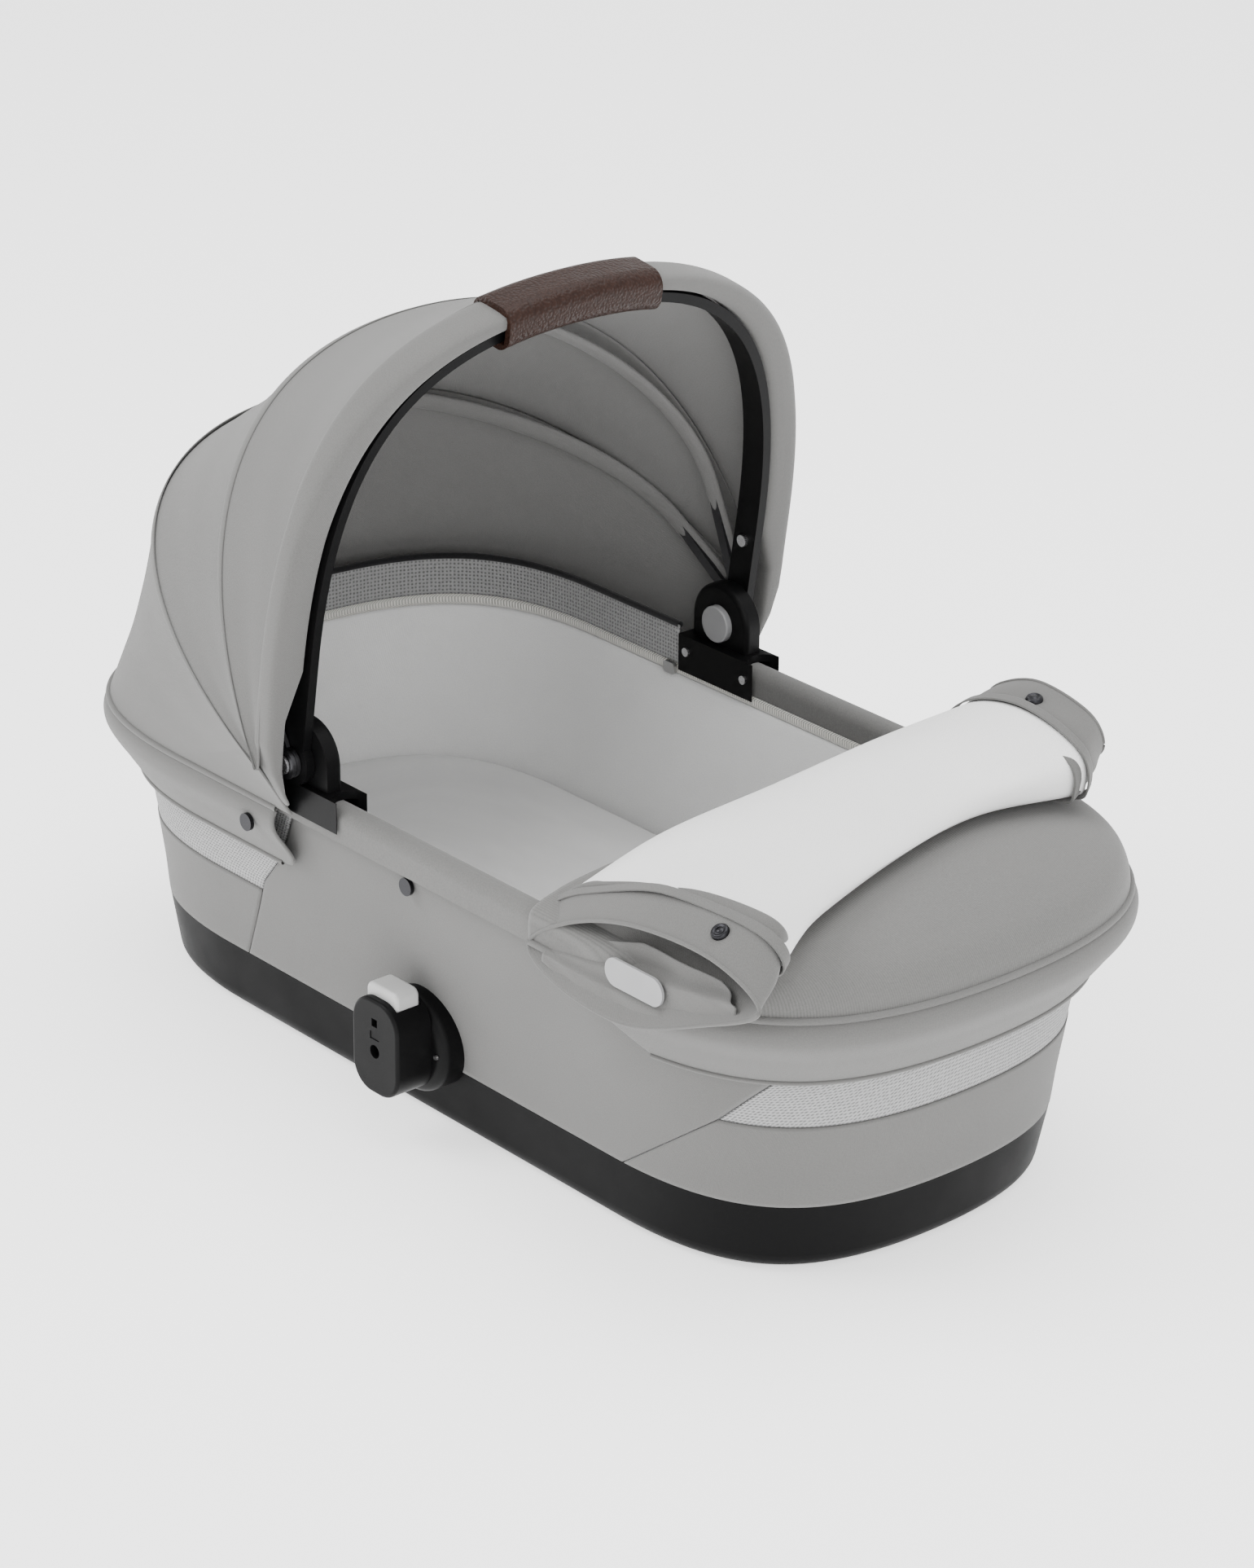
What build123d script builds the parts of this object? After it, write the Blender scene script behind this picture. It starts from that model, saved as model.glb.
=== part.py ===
from build123d import *
import math
import os

# Carrycot with a folding canopy, a foot apron and two side adapters for a pushchair frame.
# Millimetres. Origin on the floor under the middle of the cot, +X to the foot end, +Z up.
os.makedirs("parts", exist_ok=True)

# ---- body of the cot: plan outlines (foot reach, head reach, half width) at named heights ----
TUB_TOP = 53.0
SASH_HEIGHT = 115.0
HEM_HEIGHT = 157.0
RIM_BOTTOM = 209.0
RIM_TOP = 233.0
TUB_BOTTOM_OUTLINE = (354.0, 373.0, 159.0)
TUB_TOP_OUTLINE = (366.0, 385.0, 165.0)
SASH_OUTLINE = (374.0, 388.5, 173.0)
HEM_OUTLINE = (380.0, 391.0, 181.0)
WALL_TOP_OUTLINE = (386.0, 392.0, 193.0)
RIM_OUTLINE = (390.0, 396.0, 203.0)
FOOT_END_CENTRE = 202.0
HEAD_END_CENTRE = -221.0
END_FULLNESS = 0.72

# ---- walls and layers ----
TUB_WALL = 5.0
TUB_FLOOR = 3.0
TUB_CORNER = 15.0
RIB_THICKNESS = 3.0
TUB_RIBS = 5
FLOOR_BOARD_THICKNESS = 4.0
PANEL_THICKNESS = 2.0
BOARD_THICKNESS = 2.0
LINER_THICKNESS = 5.0
LAYER_GAP = 0.3
SEAM_GAP = 0.4
RIM_WIDTH = 20.0
MATTRESS_TOP = 88.0
MATTRESS_CORNER = 12.0
MATTRESS_GAP = 1.0
LINER_TOP = 204.0
ZIP_THICKNESS = 1.6
ZIP_TOP = 213.0
GUSSET_TOP = 245.0

# ---- canopy hinge and its frame ----
HINGE_X = -86.0
HINGE_Z = 256.0
BOW_LEAN = 8.9
MID_RIB_LEAN = -25.9
REAR_RIB_LEAN = -61.4
BOW_HALF_WIDTH = 201.0
BOW_BASE = 80.0
BOW_HEIGHT = 299.0
BOW_THICKNESS = 7.0
BOW_DEPTH = 22.0
BOW_FULLNESS = 0.72
SLEEVE_HALF_WIDTH = 238.4
SLEEVE_HEIGHT = 318.4
SLEEVE_ANGLE = 2.7
PANEL_GAP_ANGLE = 0.12
SLEEVE_FULLNESS = 0.72
SLEEVE_BASE = 22.0
SLEEVE_GAP = 0.8
SLEEVE_FOOT = 72.0
CANOPY_THICKNESS = 2.0
MID_RIB_SKIN = (238.7, 280.0)
REAR_RIB_SKIN = (235.6, 303.0)
RIB_SKIN_FULLNESS = 0.637
RIB_SKIN_BASE = 22.0
RIB_INSET = 5.0
MID_RIB_ELBOW = 218.5
REAR_RIB_ELBOW = 223.0
RIB_BAR = 4.0
RIB_WIDTH = 8.0
RIB_ELBOW = 100.0
RIB_FULLNESS = 0.47
PIN_RADIUS = 4.0
PIN_CLEARANCE = 0.2
HUB_GAP = 0.5
RIB_HUB_THICKNESS = 3.0
RIB_HUB_RADIUS = 11.0
BOW_HUB_RADIUS = 17.0
CANOPY_SIDE_FOOT = 20.0

# ---- canopy skirt around the head end ----
PIPING_Z = 214.0
PIPING_OUTLINE = (409.0, 411.0, 208.0)
BULGE_Z = 200.0
BULGE_OUTLINE = (416.0, 416.0, 212.0)
SKIRT_HEM_OUTLINE = (387.0, 393.5, 185.0)
SKIRT_THICKNESS = 2.5
SKIRT_FRONT = -105.0
SKIRT_CORNER = 22.0
APRON_SIDE_TOP = 205.0
APRON_SIDE_HEM = 262.0

# ---- hinge bracket, housing and release button ----
BRACKET_REAR = -121.0
BRACKET_FRONT = -40.0
BRACKET_CHEEK = 2.2
BRACKET_INNER_DROP = 29.0
BRACKET_OUTER_DROP = 23.0
BRACKET_NOTCH = 13.0
BRACKET_TOP = 239.0
HOUSING_RADIUS = 30.0
HOUSING_INNER = 187.0
HOUSING_ROUND = 4.0
HOUSING_OUTER = 200.5
BUTTON_RADIUS = 14.0
BUTTON_CLEARANCE = 0.3
BUTTON_PROUD = 5.0
BUTTON_TRAVEL = 4.0
BUTTON_LENGTH = 12.0
PIN_HEAD_RADIUS = 7.0
PIN_HEAD_THICKNESS = 2.0

# ---- apron over the foot end and its folded flap ----
APRON_HEAD_EDGE = 168.0
APRON_SHOULDER = (236.5, (394.0, 394.0, 205.5))
APRON_DOME = (246.0, (350.0, 350.0, 165.0))
APRON_CROWN = (250.0, (300.0, 300.0, 115.0))
APRON_THICKNESS = 2.5
FLAP_FOOT_EDGE = 318.0
FLAP_GAP = 0.5
FLAP_CROWN = 287.0
FLAP_HALF_WIDTH = 211.0
FLAP_DROP_Z = 216.0
FLAP_SHOULDER = 240.0
FLAP_SNAP_X = 281.0
FLAP_SNAP_Y = 148.0
FLAP_SNAP_Z = 264.0
FLAP_SNAP_HEIGHT = 13.0
BADGE_LENGTH = 56.0
BADGE_HEIGHT = 20.0
BADGE_THICKNESS = 2.0
BADGE_SHIFT = 36.0
FLAP_FULLNESS = 0.8
FLAP_UNDER_HALF_WIDTH = 208.6
FLAP_UNDER_SHOULDER = 238.0
FLAP_UNDER_FULLNESS = 0.9

# ---- side adapters that plug onto a pushchair frame ----
ADAPTER_X = 14.0
ADAPTER_BASE = (74.0, 76.0)
ADAPTER_BASE_Z = 72.0
ADAPTER_BASE_FACE = 187.0
ADAPTER_BASE_ROUND = 8.0
SCREW_SPREAD = 31.0
PLATE_WIDTH = 50.0
PLATE_HEIGHT = 72.0
PLATE_Z = 77.0
PLATE_FACE = 217.0
PLATE_ROUND = 20.0
PLATE_EDGE = 2.5
SOCKET_RADIUS = 5.0
SOCKET_DEPTH = 14.0
SOCKET_Z = 74.0
KEYWAY_SIZE = 6.0
KEYWAY_DEPTH = 4.0
KEYWAY_Z = 96.0
LATCH_SIZE = (9.0, 5.0)
LATCH_Z = 86.0
LATCH_CLEARANCE = 0.4
LATCH_TRAVEL = 3.0
LATCH_LENGTH = 11.0
LATCH_SINK = 0.5
KEY_WIDTH = 34.0
KEY_BOTTOM = 102.0
KEY_TOP = 121.0
KEY_BACK = 190.0
KEY_FRONT = 210.5
KEY_TRAVEL = 3.0
KEY_GAP = 0.4
KEY_ROUND = 6.0
KEY_EDGE = 3.0

# ---- fasteners and trim ----
SNAP_RADIUS = 6.5
SNAP_THICKNESS = 3.0
SCREW_RADIUS = 3.4
SCREW_HEAD = 1.8
RIVET_RADIUS = 4.5
RIVET_HEIGHT = 3.0
RIVET_UP = 66.0
GRIP_HALF_LENGTH = 68.0
GRIP_WALL = 5.0
GRIP_GAP = 0.4
GRIP_ROUND = 12.0
SLIDER_LENGTH = 12.0
SLIDER_THICKNESS = 3.0
SLIDER_X = -131.0
SIDE_SNAP = (21.0, 195.0)
SKIRT_SNAP = (-132.0, 196.0)

WALL_LEVELS = [
    (0.0, TUB_BOTTOM_OUTLINE),
    (TUB_TOP, TUB_TOP_OUTLINE),
    (SASH_HEIGHT, SASH_OUTLINE),
    (HEM_HEIGHT, HEM_OUTLINE),
    (RIM_BOTTOM, WALL_TOP_OUTLINE),
]
MIRRORED = {"left": -1, "right": 1}
REACH = 500.0


def inset(outline, distance):
    """Plan outline moved inwards by a distance all round."""
    foot, head, half = outline
    return (foot - distance, head - distance, half - distance)


def wall_at(height):
    """Plan outline of the cot's outer wall at a height, straight between its named levels."""
    for (low, below), (high, above) in zip(WALL_LEVELS, WALL_LEVELS[1:]):
        if height <= high:
            share = (height - low) / (high - low)
            return tuple(b + share * (a - b) for a, b in zip(above, below))
    return WALL_LEVELS[-1][1]


def oval(outline):
    """Sketch of a plan outline: straight sides, and two curves at each end."""
    foot, head, half = outline
    foot_handle = FOOT_END_CENTRE + END_FULLNESS * (foot - FOOT_END_CENTRE)
    head_handle = HEAD_END_CENTRE - END_FULLNESS * (head + HEAD_END_CENTRE)
    side_handle = END_FULLNESS * half
    with BuildSketch(Plane.XY) as shape:
        with BuildLine():
            Line((HEAD_END_CENTRE, half), (FOOT_END_CENTRE, half))
            Bezier((FOOT_END_CENTRE, half), (foot_handle, half), (foot, side_handle), (foot, 0))
            Bezier((foot, 0), (foot, -side_handle), (foot_handle, -half), (FOOT_END_CENTRE, -half))
            Line((FOOT_END_CENTRE, -half), (HEAD_END_CENTRE, -half))
            Bezier((HEAD_END_CENTRE, -half), (head_handle, -half), (-head, -side_handle), (-head, 0))
            Bezier((-head, 0), (-head, side_handle), (head_handle, half), (HEAD_END_CENTRE, half))
        make_face()
    return shape.sketch


def levels_between(low, high, distance):
    """Wall outlines from one height to another, each moved inwards by a distance."""
    heights = [low] + [h for h, _ in WALL_LEVELS if low < h < high] + [high]
    return [(h, inset(wall_at(h), distance)) for h in heights]


def oval_loft(levels):
    """Solid with straight flanks through plan outlines at rising heights."""
    with BuildPart() as solid:
        for height, outline in levels:
            with BuildSketch(Plane.XY.offset(height)):
                add(oval(outline))
        loft(ruled=True)
    return solid.part


def wall_shell(low, high, outer_inset, thickness):
    """Wall between two heights that follows the cot's outline at an inset."""
    with BuildPart() as shell:
        add(oval_loft(levels_between(low, high, outer_inset)))
        add(oval_loft(levels_between(low, high, outer_inset + thickness)), mode=Mode.SUBTRACT)
    return shell.part


def oval_band(low, high, outline, thickness):
    """Upright band between two heights, a plan outline with a thickness inwards."""
    with BuildPart() as band:
        with BuildSketch(Plane.XY.offset(low)):
            add(oval(outline))
            add(oval(inset(outline, thickness)), mode=Mode.SUBTRACT)
        extrude(amount=high - low)
    return band.part


def side_view(points, side=0):
    """Prism across the cot over a side view polygon, or over one half of the cot."""
    with BuildPart() as prism:
        with BuildSketch(Plane.XZ):
            with BuildLine():
                Polyline(*points, close=True)
            make_face()
        if side == 0:
            extrude(amount=REACH, both=True)
        else:
            extrude(amount=-side * REACH)
    return prism.part


def save(part, label):
    part.label = label
    export_step(part, f"parts/{label}.step")


# ---- base tub with cross ribs, and the floor board that lies on them ----
board_bottom = TUB_TOP - TUB_FLOOR
rib_span = FOOT_END_CENTRE - HEAD_END_CENTRE
rib_middle = (FOOT_END_CENTRE + HEAD_END_CENTRE) / 2
rib_height = board_bottom - TUB_FLOOR
with BuildPart() as tub_room:
    add(oval_loft(levels_between(TUB_FLOOR, TUB_TOP, TUB_WALL)))
    fillet(tub_room.edges().group_by(Axis.Z)[0], radius=TUB_CORNER - TUB_FLOOR)
with BuildPart() as base_tub:
    add(oval_loft([(0.0, TUB_BOTTOM_OUTLINE), (TUB_TOP, TUB_TOP_OUTLINE)]))
    fillet(base_tub.edges().group_by(Axis.Z)[0], radius=TUB_CORNER)
    add(tub_room.part, mode=Mode.SUBTRACT)
    for step in range(TUB_RIBS):
        rib_x = rib_middle + (step - (TUB_RIBS - 1) / 2) * rib_span / TUB_RIBS
        with BuildSketch(Plane.YZ.offset(rib_x)):
            with Locations((0, TUB_FLOOR + rib_height / 2)):
                Rectangle(2 * (wall_at(TUB_FLOOR)[2] - TUB_CORNER), rib_height)
                SlotOverall(wall_at(TUB_FLOOR)[2], rib_height / 2, mode=Mode.SUBTRACT)
        extrude(amount=RIB_THICKNESS)
save(base_tub.part, "base_tub")

board_top = board_bottom + FLOOR_BOARD_THICKNESS
with BuildPart() as floor_board:
    with BuildSketch(Plane.XY.offset(board_bottom)):
        add(oval(inset(wall_at(board_bottom), TUB_WALL + LAYER_GAP)))
    extrude(amount=FLOOR_BOARD_THICKNESS)
save(floor_board.part, "floor_board")

# ---- stiff wall board between the tub and the rim ----
board_inset = PANEL_THICKNESS + LAYER_GAP
with BuildPart() as wall_board:
    add(wall_shell(TUB_TOP, RIM_BOTTOM, board_inset, BOARD_THICKNESS))
save(wall_board.part, "wall_board")

# ---- rim frame that carries the brackets ----
with BuildPart() as rim_frame:
    add(oval_band(RIM_BOTTOM, RIM_TOP, RIM_OUTLINE, RIM_WIDTH))
    fillet(rim_frame.edges().group_by(Axis.Z)[-1], radius=RIM_WIDTH * 0.45)
save(rim_frame.part, "rim_frame")

# ---- sewn shell: side panels, end panels and end mesh, cut along the slanted seams ----
SEAM_TOP = RIM_BOTTOM - LAYER_GAP
SASH_SEAM = SASH_HEIGHT + 2.0
HEAD_SEAM = [(-105.0, SEAM_TOP), (-137.0, HEM_HEIGHT), (-166.0, 126.0), (-200.0, TUB_TOP)]
FOOT_SEAM = [(215.0, TUB_TOP), (300.0, SASH_SEAM), (340.0, HEM_HEIGHT), (352.0, SEAM_TOP)]


def shifted(points, distance):
    """Side view points moved along the cot."""
    return [(x + distance, z) for x, z in points]


for side_name, side in MIRRORED.items():
    with BuildPart() as side_panel:
        add(wall_shell(TUB_TOP, SEAM_TOP, 0, PANEL_THICKNESS))
        add(side_view(HEAD_SEAM + FOOT_SEAM, side), mode=Mode.INTERSECT)
    save(side_panel.part, f"side_panel_{side_name}")

head_end = [(-REACH, SEAM_TOP)] + shifted(HEAD_SEAM, -SEAM_GAP) + [(-REACH, TUB_TOP)]
foot_end = [(REACH, TUB_TOP)] + shifted(FOOT_SEAM, SEAM_GAP) + [(REACH, SEAM_TOP)]
for end_name, region in {"head": head_end, "foot": foot_end}.items():
    with BuildPart() as end_panel:
        add(wall_shell(TUB_TOP, SASH_SEAM, 0, PANEL_THICKNESS))
        add(side_view(region), mode=Mode.INTERSECT)
    save(end_panel.part, f"{end_name}_panel")
    with BuildPart() as end_mesh:
        add(wall_shell(SASH_SEAM, SEAM_TOP, 0, PANEL_THICKNESS))
        add(side_view(region), mode=Mode.INTERSECT)
    save(end_mesh.part, f"{end_name}_mesh")

# ---- liner, mattress, zip and the mesh gusset that closes the head end above the zip ----
liner_inset = board_inset + BOARD_THICKNESS + LAYER_GAP
with BuildPart() as liner:
    add(wall_shell(board_top + LAYER_GAP, LINER_TOP, liner_inset, LINER_THICKNESS))
save(liner.part, "liner")

mattress_inset = liner_inset + LINER_THICKNESS + MATTRESS_GAP
with BuildPart() as mattress:
    add(oval_loft(levels_between(board_top + LAYER_GAP, MATTRESS_TOP, mattress_inset)))
    fillet(mattress.edges().group_by(Axis.Z)[-1], radius=MATTRESS_CORNER)
save(mattress.part, "mattress")

zip_outline = inset(RIM_OUTLINE, RIM_WIDTH + LAYER_GAP)
with BuildPart() as zip_tape:
    add(oval_band(LINER_TOP + LAYER_GAP, ZIP_TOP, zip_outline, ZIP_THICKNESS))
save(zip_tape.part, "zip_tape")

gusset_edge = BRACKET_REAR - 1.0
behind_bracket = [(-REACH, 0), (gusset_edge, 0), (gusset_edge, REACH), (-REACH, REACH)]
with BuildPart() as head_gusset:
    add(oval_band(ZIP_TOP + LAYER_GAP, GUSSET_TOP, zip_outline, ZIP_THICKNESS))
    add(side_view(behind_bracket), mode=Mode.INTERSECT)
save(head_gusset.part, "head_gusset")

# ---- hem bands: the canopy skirt around the head and the apron band around the foot ----
flange_outline = inset(RIM_OUTLINE, -LAYER_GAP)
BAND_LEVELS = [(HEM_HEIGHT, SKIRT_HEM_OUTLINE), (BULGE_Z, BULGE_OUTLINE), (PIPING_Z, PIPING_OUTLINE)]


def hem_band(region):
    """Bulged fabric band with a flange that reaches the rim, kept inside a side view region."""
    with BuildPart() as band:
        add(oval_loft(BAND_LEVELS))
        add(oval_loft([(z, inset(o, SKIRT_THICKNESS)) for z, o in BAND_LEVELS]), mode=Mode.SUBTRACT)
        with BuildSketch(Plane.XY.offset(PIPING_Z - SKIRT_THICKNESS)):
            add(oval(inset(PIPING_OUTLINE, SKIRT_THICKNESS / 2)))
            add(oval(flange_outline), mode=Mode.SUBTRACT)
        extrude(amount=SKIRT_THICKNESS)
        add(side_view(region), mode=Mode.INTERSECT)
    return band.part


skirt_region = [
    (-REACH, HEM_HEIGHT),
    (SKIRT_FRONT - SKIRT_CORNER, HEM_HEIGHT),
    (SKIRT_FRONT, HEM_HEIGHT + SKIRT_CORNER),
    (SKIRT_FRONT, PIPING_Z),
    (-REACH, PIPING_Z),
]
apron_region = [
    (APRON_SIDE_TOP, PIPING_Z),
    (APRON_SIDE_HEM, HEM_HEIGHT),
    (REACH, HEM_HEIGHT),
    (REACH, PIPING_Z),
]
with BuildPart() as canopy_skirt:
    add(hem_band(skirt_region))
save(canopy_skirt.part, "canopy_skirt")
with BuildPart() as apron_band:
    add(hem_band(apron_region))
save(apron_band.part, "apron_band")

# ---- apron top: a domed sheet over the rim, open at its head edge ----
apron_levels = [(PIPING_Z + LAYER_GAP, PIPING_OUTLINE), APRON_SHOULDER, APRON_DOME, APRON_CROWN]
under_levels = [(z - APRON_THICKNESS, inset(o, APRON_THICKNESS)) for z, o in apron_levels]
apron_edge = [(APRON_HEAD_EDGE, 0), (REACH, 0), (REACH, REACH), (APRON_HEAD_EDGE, REACH)]
with BuildPart() as apron_top:
    add(oval_loft(apron_levels))
    add(oval_loft(under_levels), mode=Mode.SUBTRACT)
    add(side_view(apron_edge), mode=Mode.INTERSECT)
save(apron_top.part, "apron_top")


def arch(half, foot, base, height, fullness):
    """Sketch of an arch: straight legs from foot to base, then two curves that meet at its crown."""
    shoulder = base + fullness * (height - base)
    side = fullness * half
    with BuildSketch(Plane.XY) as shape:
        with BuildLine():
            Line((-half, foot), (half, foot))
            Line((half, foot), (half, base))
            Bezier((half, base), (half, shoulder), (side, height), (0, height))
            Bezier((0, height), (-side, height), (-half, shoulder), (-half, base))
            Line((-half, base), (-half, foot))
        make_face()
    return shape.sketch


# ---- apron flap: a soft roll folded back over the apron, with snaps and a blank badge ----
flap_middle = (APRON_HEAD_EDGE + FLAP_FOOT_EDGE) / 2
flap_length = FLAP_FOOT_EDGE - APRON_HEAD_EDGE
snap_points = [(FLAP_SNAP_X, side * FLAP_SNAP_Y) for side in MIRRORED.values()]
with BuildPart() as apron_flap:
    with BuildSketch(Plane.YZ.offset(APRON_HEAD_EDGE)):
        add(arch(FLAP_HALF_WIDTH, FLAP_DROP_Z, FLAP_SHOULDER, FLAP_CROWN, FLAP_FULLNESS))
        under = (FLAP_UNDER_HALF_WIDTH, FLAP_DROP_Z, FLAP_UNDER_SHOULDER, APRON_CROWN[0] + FLAP_GAP)
        add(arch(*under, FLAP_UNDER_FULLNESS), mode=Mode.SUBTRACT)
    extrude(amount=flap_length)
    with BuildSketch(Plane.XY.offset(FLAP_SNAP_Z)):
        with Locations(*snap_points):
            Circle(SNAP_RADIUS + LAYER_GAP)
    extrude(amount=FLAP_CROWN - FLAP_SNAP_Z, mode=Mode.SUBTRACT)
save(apron_flap.part, "apron_flap")

with BuildPart() as flap_snaps:
    with BuildSketch(Plane.XY.offset(FLAP_SNAP_Z)):
        with Locations(*snap_points):
            Circle(SNAP_RADIUS)
    extrude(amount=FLAP_SNAP_HEIGHT)
save(flap_snaps.part, "flap_snaps")

with BuildPart() as badge:
    with BuildSketch(Plane.XZ.offset(FLAP_HALF_WIDTH)):
        with Locations((flap_middle + BADGE_SHIFT, FLAP_DROP_Z + BADGE_HEIGHT / 2 + 1)):
            SlotOverall(BADGE_LENGTH, BADGE_HEIGHT)
    extrude(amount=BADGE_THICKNESS)
save(badge.part, "badge")

# ---- hinge brackets, housings with their bores, release buttons and pivot pins ----
inner_cheek = RIM_OUTLINE[2] - RIM_WIDTH - LAYER_GAP - ZIP_THICKNESS - LAYER_GAP
outer_cheek = RIM_OUTLINE[2] + LAYER_GAP
bracket_under = RIM_TOP + LAYER_GAP
bow_inner = BOW_HALF_WIDTH
mid_hub_inner = bow_inner + BOW_THICKNESS + HUB_GAP
rear_hub_inner = mid_hub_inner + RIB_HUB_THICKNESS + HUB_GAP
pin_head_inner = rear_hub_inner + RIB_HUB_THICKNESS + HUB_GAP
hinge_point = (HINGE_X, HINGE_Z)
for side_name, side in MIRRORED.items():
    with BuildPart() as rail_bracket:
        with BuildSketch(Plane.YZ.offset(BRACKET_REAR)):
            with BuildLine():
                Polyline(
                    (side * (inner_cheek - BRACKET_CHEEK), BRACKET_TOP),
                    (side * (inner_cheek - BRACKET_CHEEK), BRACKET_TOP - BRACKET_INNER_DROP),
                    (side * inner_cheek, BRACKET_TOP - BRACKET_INNER_DROP),
                    (side * inner_cheek, bracket_under),
                    (side * outer_cheek, bracket_under),
                    (side * outer_cheek, BRACKET_TOP - BRACKET_OUTER_DROP),
                    (side * (outer_cheek + BRACKET_CHEEK), BRACKET_TOP - BRACKET_OUTER_DROP),
                    (side * (outer_cheek + BRACKET_CHEEK), BRACKET_TOP),
                    close=True,
                )
            make_face()
        extrude(amount=BRACKET_FRONT - BRACKET_REAR)
        with BuildSketch(Plane.XY.offset(BRACKET_TOP - BRACKET_INNER_DROP)):
            with Locations((BRACKET_FRONT, side * (inner_cheek + outer_cheek) / 2)):
                Circle(BRACKET_NOTCH)
        extrude(amount=BRACKET_INNER_DROP, mode=Mode.SUBTRACT)
    save(rail_bracket.part, f"rail_bracket_{side_name}")

    with BuildPart() as hinge_housing:
        with BuildSketch(Plane.XZ.offset(-side * HOUSING_INNER)):
            with Locations(hinge_point):
                Circle(HOUSING_RADIUS)
            with Locations((HINGE_X, (HINGE_Z + BRACKET_TOP) / 2)):
                Rectangle(2 * HOUSING_RADIUS, HINGE_Z - BRACKET_TOP)
            with Locations((HINGE_X, BRACKET_TOP)):
                Rectangle(
                    3 * HOUSING_RADIUS,
                    2 * HOUSING_RADIUS,
                    align=(Align.CENTER, Align.MAX),
                    mode=Mode.SUBTRACT,
                )
        extrude(amount=-side * (HOUSING_OUTER - HOUSING_INNER))
        inner_edges = hinge_housing.edges().group_by(Axis.Y)[0 if side > 0 else -1]
        fillet(inner_edges.group_by(Axis.Z)[-1], radius=HOUSING_ROUND)
        with BuildSketch(Plane.XZ.offset(-side * HOUSING_INNER)):
            with Locations(hinge_point):
                Circle(BUTTON_RADIUS + BUTTON_CLEARANCE)
        bore_depth = BUTTON_LENGTH - BUTTON_PROUD + BUTTON_TRAVEL + BUTTON_CLEARANCE
        extrude(amount=-side * bore_depth, mode=Mode.SUBTRACT)
    save(hinge_housing.part, f"hinge_housing_{side_name}")

    with BuildPart() as hinge_button:
        with BuildSketch(Plane.XZ.offset(-side * (HOUSING_INNER - BUTTON_PROUD))):
            with Locations(hinge_point):
                Circle(BUTTON_RADIUS)
        extrude(amount=-side * BUTTON_LENGTH)
        fillet(hinge_button.edges().group_by(Axis.Y)[0 if side > 0 else -1], radius=1.2)
    save(hinge_button.part, f"hinge_button_{side_name}")

with BuildPart() as pivot_pins:
    for side in MIRRORED.values():
        with BuildSketch(Plane.XZ.offset(-side * HOUSING_OUTER)):
            with Locations(hinge_point):
                Circle(PIN_RADIUS)
        extrude(amount=-side * (pin_head_inner - HOUSING_OUTER))
        with BuildSketch(Plane.XZ.offset(-side * pin_head_inner)):
            with Locations(hinge_point):
                Circle(PIN_HEAD_RADIUS)
        extrude(amount=-side * PIN_HEAD_THICKNESS)
save(pivot_pins.part, "pivot_pins")


def canopy_plane(lean):
    """Plane through the hinge axis that leans forward by an angle, with its Y up the arch."""
    angle = math.radians(lean)
    normal = (math.cos(angle), 0, -math.sin(angle))
    return Plane(origin=(HINGE_X, 0, HINGE_Z), x_dir=(0, 1, 0), z_dir=normal)


def arch_loft(sections):
    """Ruled solid through arches, each on its own plane."""
    with BuildPart() as solid:
        for plane, size in sections:
            with BuildSketch(plane):
                add(arch(*size))
        loft(ruled=True)
    return solid.part


def skin(sections):
    """Canopy panel: the space between arches and the same arches moved inwards."""
    inner = [
        (plane, (half - CANOPY_THICKNESS, foot - RIB_WIDTH, base, height - CANOPY_THICKNESS, fullness))
        for plane, (half, foot, base, height, fullness) in sections
    ]
    with BuildPart() as shell:
        add(arch_loft(sections))
        add(arch_loft(inner), mode=Mode.SUBTRACT)
    return shell.part


def hub(inner_face, thickness, radius):
    """Two discs on the hinge axis, one each side."""
    with BuildPart() as hubs:
        for side in MIRRORED.values():
            with BuildSketch(Plane.XZ.offset(-side * inner_face)):
                with Locations(hinge_point):
                    Circle(radius)
            extrude(amount=-side * thickness)
    return hubs.part


# ---- front bow with its padded sleeve, leather grip and rivets ----
bow_plane = canopy_plane(BOW_LEAN)
pin_bore = PIN_RADIUS + PIN_CLEARANCE
bow_arch = (BOW_HALF_WIDTH, 0, BOW_BASE, BOW_HEIGHT, BOW_FULLNESS)
bow_outer = BOW_HALF_WIDTH + BOW_THICKNESS
bow_crown = BOW_HEIGHT + BOW_THICKNESS
with BuildPart() as front_bow:
    with BuildSketch(bow_plane):
        add(arch(bow_outer, 0, BOW_BASE, bow_crown, BOW_FULLNESS))
        add(arch(*bow_arch), mode=Mode.SUBTRACT)
    extrude(amount=BOW_DEPTH / 2, both=True)
    add(hub(bow_inner, BOW_THICKNESS, BOW_HUB_RADIUS))
    add(hub(bow_inner, BOW_THICKNESS, pin_bore), mode=Mode.SUBTRACT)
save(front_bow.part, "front_bow")

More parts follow.
